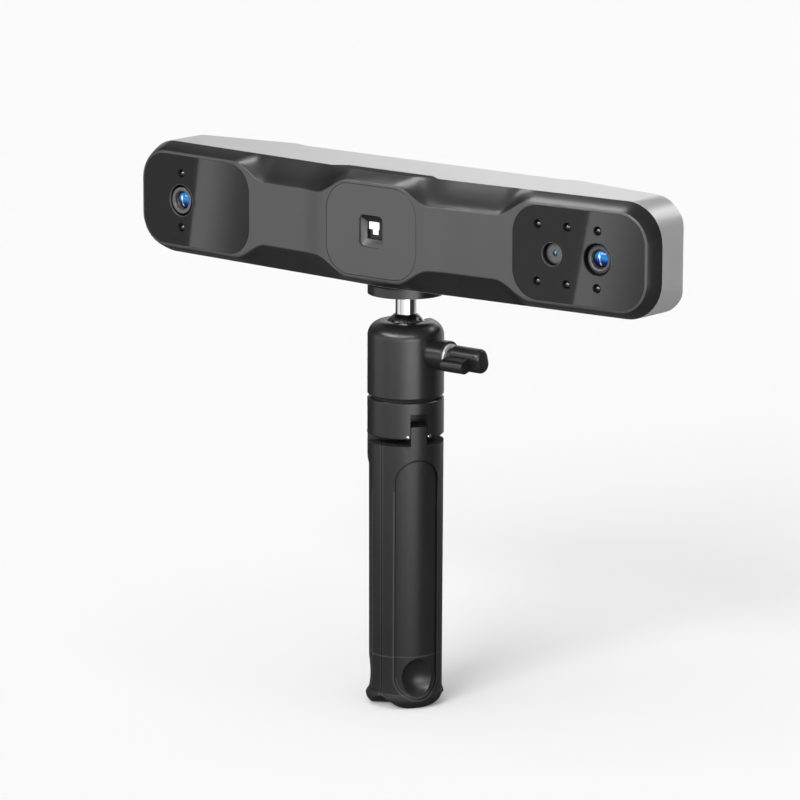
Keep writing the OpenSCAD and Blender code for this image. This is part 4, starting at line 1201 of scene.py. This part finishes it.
@dataclass
class Handle:
    """Crown, hinge pins, legs and feet of the folding tripod; sizes in millimetres."""

    bench: Bench
    place: Layout
    sides: tuple[str, ...] = ("right", "left", "rear")
    leg_angles: tuple[float, ...] = (-30.0, 210.0, 90.0)
    crown_r: float = 17.6
    rivet_y: float = 5.2
    rivet_z: float = 128.3

    def build(self) -> None:
        """Makes and dresses the handle."""
        skin = self.bench.skin
        skin("friction_washer", Look(Finish.RUBBER, "base", "black_plastic"), 0.25, 3)
        # Rounded edges of crown, legs and feet get the lighter edge finish, a painted highlight.
        skin("crown", Look(Finish.HEAD, "base", "black_plastic"), 0.25, 3, edge=Finish.PAINTED_EDGE_HIGHLIGHT)
        skin("hinge_pins", Look(Finish.STEEL, "base", "steel"), 0.3, 3)
        for index, (side, angle) in enumerate(zip(self.sides, self.leg_angles)):
            look = Look(Grip(f"grip_{side}", angle, self.place.handle_y), f"leg_{side}", "black_plastic")
            skin(f"{side}_leg", look, 0.25, 3, 30.0, Finish.PAINTED_EDGE_HIGHLIGHT)
            skin(f"{side}_foot", look, 0.25, 3, 40.0, Finish.PAINTED_EDGE_HIGHLIGHT)
            self.rivets(index, math.radians(angle))

    def rivets(self, index: int, angle: float) -> None:
        """Makes two small steel rivets at the lower corners of one notch in the crown.

        Args:
            index: Number of the leg.
            angle: Bearing of the leg about the handle's axis, in radians.
        """
        out = Vector((math.cos(angle), math.sin(angle), 0))
        beside = Vector((-out.y, out.x, 0))
        reach = math.sqrt(self.crown_r ** 2 - self.rivet_y ** 2)
        dome = [(0, 0.28), (0.35, 0.25), (0.65, 0.16), (0.85, 0.0), (0.85, -0.8), (0, -0.8)]
        look = Look(Finish.CHROME, "base", "steel")
        for letter, side in (("a", -1), ("b", 1)):
            across = beside * (side * self.rivet_y)
            centre = Vector((0, self.place.handle_y, self.rivet_z)) + out * reach + across
            facing = (out * reach + across).normalized()
            self.bench.turned(f"hinge_rivet_{index}_{letter}", dome, centre * MM, facing, look, 50.0, 32)


def bearing(azimuth: float, elevation: float) -> Vector:
    """Direction from the object towards a bearing and a height, both in degrees."""
    around = math.radians(azimuth)
    up = math.radians(elevation)
    return Vector((math.sin(around) * math.cos(up), -math.cos(around) * math.cos(up), math.sin(up)))


def flat(level: float) -> Levels:
    """One level of light over a whole width."""
    return ((0.0, level), (1.0, level))


def peak_of(levels: Levels) -> float:
    """The highest of some levels."""
    return max(level for _, level in levels)


def across_glow(name: str, width: float, levels: Levels) -> bpy.types.Material:
    """Makes plain light with levels along a card's width.

    Args:
        name: The material's name.
        width: The card's width, in metres.
        levels: Places along the width, from 0 to 1, and their levels.

    Returns:
        The material.
    """
    shader = Shader(name)
    peak = peak_of(levels)
    along = shader.axis("X") / width + 0.5
    return shader.glow(shader.ramp(along, [(place, level / peak) for place, level in levels]), peak)


def only_in_gloss(thing: bpy.types.Object, name: str, light: bpy.types.Material) -> None:
    """Lights a thing of the studio, and keeps it out of everything but reflections.

    Args:
        thing: The thing.
        name: Its name.
        light: Its light.
    """
    thing.name = name
    thing.data.materials.append(light)
    thing.visible_camera = False
    thing.visible_diffuse = False
    thing.visible_shadow = False
    thing.visible_transmission = False


@dataclass(frozen=True)
class Card:
    """A card of the studio that only reflections see, hung around a point that it faces."""

    name: str
    azimuth: float
    elevation: float
    distance: float
    width: float
    height: float
    levels: Levels
    turn: float = 0.0
    aim: Triple = (0.0, 0.0, 0.2)

    def build(self) -> None:
        """Hangs the card."""
        out = bearing(self.azimuth, self.elevation)
        bpy.ops.mesh.primitive_plane_add(size=1.0, location=Vector(self.aim) + out * self.distance)
        card = bpy.context.object
        card.scale = (self.width, self.height, 1.0)
        bpy.ops.object.transform_apply(location=False, rotation=False, scale=True)
        card.rotation_mode = "QUATERNION"
        twist = Quaternion((0, 0, 1), math.radians(self.turn))
        card.rotation_quaternion = out.to_track_quat("Z", "Y") @ twist
        only_in_gloss(card, self.name, across_glow(f"{self.name}_glow", self.width, self.levels))


@dataclass(frozen=True)
class Wall:
    """A round wall of light that only reflections see, with levels by bearing and by height."""

    name: str
    radius: float
    low: float
    high: float
    levels: Levels
    rise: Levels = SOFT_RISE

    def build(self) -> None:
        """Stands the wall up."""
        tall = self.high - self.low
        middle = (0, 0, (self.high + self.low) / 2)
        bpy.ops.mesh.primitive_cylinder_add(vertices=160, radius=self.radius, depth=tall,
                                            end_fill_type="NOTHING", location=middle)
        wall = bpy.context.object
        shader = Shader(f"{self.name}_glow")
        peak = peak_of(self.levels)
        bearings = shader.node("ShaderNodeMath", {"operation": "ARCTAN2"},
                               {0: shader.axis("X"), 1: shader.axis("Y") * -1.0})
        around = bearings / (2 * math.pi) + 0.5
        side = shader.ramp(around, [(degrees / 360 + 0.5, level / peak) for degrees, level in self.levels])
        upward = shader.ramp(shader.axis("Z") / tall + 0.5, list(self.rise))
        only_in_gloss(wall, self.name, shader.glow(side * upward, peak))


@dataclass(frozen=True)
class Tent:
    """Dim cloth all around the set, seen only in reflections."""

    name: str = "studio_tent"
    radius: float = 4.0
    level: float = 0.12

    def build(self) -> None:
        """Hangs the tent."""
        bpy.ops.mesh.primitive_ico_sphere_add(subdivisions=4, radius=self.radius, location=(0, 0, 0.2))
        only_in_gloss(bpy.context.object, self.name, across_glow(f"{self.name}_glow", 1.0, flat(self.level)))


@dataclass(frozen=True)
class Sun:
    """A soft lamp far away that reflections don't show."""

    name: str
    azimuth: float
    elevation: float
    level: float
    spread: float

    def build(self) -> None:
        """Hangs the lamp."""
        out = bearing(self.azimuth, self.elevation)
        bpy.ops.object.light_add(type="SUN", location=out * 3.0)
        lamp = bpy.context.object
        lamp.name = self.name
        lamp.rotation_mode = "QUATERNION"
        lamp.rotation_quaternion = out.to_track_quat("Z", "Y")
        lamp.data.energy = self.level * math.pi
        lamp.data.angle = math.radians(self.spread)
        lamp.visible_glossy = False


@dataclass
class Studio:
    """Pale floor, soft daylight, cards for the reflections and the camera."""

    bench: Bench
    camera_azimuth: float = 39.0
    camera_elevation: float = 11.85
    camera_roll: float = 0.2
    camera_lens: float = 225.0
    camera_place: Triple = (1.40904, -1.74164, 0.61272)
    floor_size: float = 24.0
    floor_tone: float = 0.9
    floor_glow: float = 1.1
    floor_share: float = 0.15
    white: float = 1.23
    fill: float = 0.5
    suns: tuple[Sun, ...] = (
        Sun("low_sun", 11.0, 28.0, 0.66, 32.0),
        Sun("high_sun", 10.0, 62.0, 0.38, 80.0),
    )
    tent: Tent = Tent()
    walls: tuple[Wall, ...] = (
        Wall("side_wall", 0.75, -0.08, 0.66,
             ((-180.0, 0.8), (-170.0, 1.1), (-158.0, 0.9), (-146.0, 0.2), (-138.0, 0.06), (-106.0, 0.06),
              (-96.0, 0.1), (-72.0, 0.12), (-63.0, 1.3), (-48.0, 1.4), (-5.0, 1.45), (17.0, 1.6), (28.0, 2.3),
              (40.0, 3.8), (54.0, 5.0), (70.0, 4.7), (76.0, 3.8), (82.0, 0.3), (92.0, 0.06), (136.0, 0.08),
              (150.0, 0.6), (168.0, 0.75), (180.0, 0.8)),
             ((0.0, 0.0), (0.06, 0.45), (0.15, 1.0), (0.95, 0.9), (1.0, 0.0))),
        Wall("back_wall", 0.74, 0.3, 0.62,
             ((-176.0, 0.0), (-168.0, 1.8), (-150.0, 2.1), (-132.0, 1.0), (-116.0, 0.9), (-108.0, 0.0))),
        Wall("rim_wall", 0.74, 0.54, 0.76,
             ((-168.0, 0.0), (-152.0, 7.0), (-124.0, 7.0), (-110.0, 0.0))),
        Wall("end_wall", 0.74, 0.58, 0.86,
             ((130.0, 0.0), (140.0, 7.0), (172.0, 7.0), (178.0, 0.0))),
        Wall("strip_wall", 0.72, 0.5, 0.66,
             ((-52.0, 0.0), (-38.0, 8.0), (-11.0, 22.0), (30.0, 13.0), (60.0, 8.0), (75.0, 0.0))),
    )
    cards: tuple[Card, ...] = (
        Card("tab_card", -25.2, 64.8, 0.442, 0.06, 0.04, flat(7.0)),
        Card("bevel_card", -95.2, 74.5, 0.415, 0.2, 0.13, flat(8.0), 90.0),
        Card("facet_card", -63.9, 58.0, 0.472, 0.12, 0.07, flat(16.0), 90.0),
        Card("left_window_card", -49.15, -9.56, 0.6, 0.1, 0.1,
             ((0.0, 0.2), (0.479, 0.2), (0.481, 1.36), (0.555, 1.28), (0.605, 1.02), (0.72, 0.44),
              (0.8, 0.3)),
             -6.7, (-0.1101, -0.0156, 0.2255)),
        Card("right_window_card", -29.05, -10.21, 0.6, 0.11, 0.1,
             ((0.0, 0.33), (0.481, 0.33), (0.483, 1.6), (0.573, 1.44), (0.72, 0.84), (0.8, 0.56)),
             -9.5, (0.115, -0.0153, 0.2242)),
    )

    def build(self) -> None:
        """Sets up the whole studio."""
        steps = [self.view, self.floor, self.world]
        steps += [thing.build for thing in (*self.suns, self.tent, *self.walls, *self.cards)]
        for step in steps:
            self.bench.clear()
            step()
        bpy.context.scene.view_settings.view_transform = "Standard"

    def view(self) -> None:
        """Camera at the photograph's angle."""
        around = math.radians(self.camera_azimuth)
        roll = math.radians(self.camera_roll)
        right = Vector((math.cos(around), math.sin(around), 0))
        back = bearing(self.camera_azimuth, self.camera_elevation)
        top = back.cross(right)
        across = right * math.cos(roll) + top * math.sin(roll)
        upward = top * math.cos(roll) - right * math.sin(roll)
        bpy.ops.object.camera_add(location=self.camera_place)
        camera = bpy.context.object
        camera.rotation_mode = "QUATERNION"
        camera.rotation_quaternion = Matrix((across, upward, back)).transposed().to_quaternion()
        camera.data.lens = self.camera_lens
        camera.data.sensor_width = 36.0
        camera.data.clip_end = 50.0
        bpy.context.scene.camera = camera

    def floor(self) -> None:
        """Pale floor that keeps the object's soft shadow."""
        bpy.ops.mesh.primitive_plane_add(size=self.floor_size, location=(0, 0, 0))
        floor = bpy.context.object
        floor.name = "studio_floor"
        shader = Shader("studio_floor")
        tone = (self.floor_tone, self.floor_tone, self.floor_tone, 1)
        bare = shader.node("ShaderNodeBsdfDiffuse", {}, {"Color": tone}, "BSDF")
        lit = shader.node("ShaderNodeEmission", {}, {"Strength": self.floor_glow}, "Emission")
        share = shader.seen() * self.floor_share
        shader.close(shader.node("ShaderNodeMixShader", {}, {0: share, 1: bare, 2: lit}))
        floor.data.materials.append(shader.material)
        floor.visible_glossy = False

    def world(self) -> None:
        """White surround where it is seen, soft fill elsewhere."""
        world = bpy.data.worlds.new("studio")
        world.use_nodes = True
        nodes = Nodes(world.node_tree, "ShaderNodeOutputWorld")
        level = nodes.seen() * (self.white - self.fill) + self.fill
        nodes.close(nodes.node("ShaderNodeBackground", {}, {"Strength": level}))
        bpy.context.scene.world = world


def main() -> None:
    """Builds the scanner, its studio and its camera."""
    logging.basicConfig(level=logging.INFO, format="%(name)s: %(message)s")
    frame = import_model()
    bench = Bench(frame, Paintbox())
    place = Layout()
    Housing(bench, place).build()
    Optics(bench, place).build()
    Inside(bench).build()
    RearControls(bench, place).build()
    BallHead(bench).build()
    Handle(bench, place).build()
    Studio(bench).build()


if __name__ == "__main__":
    main()
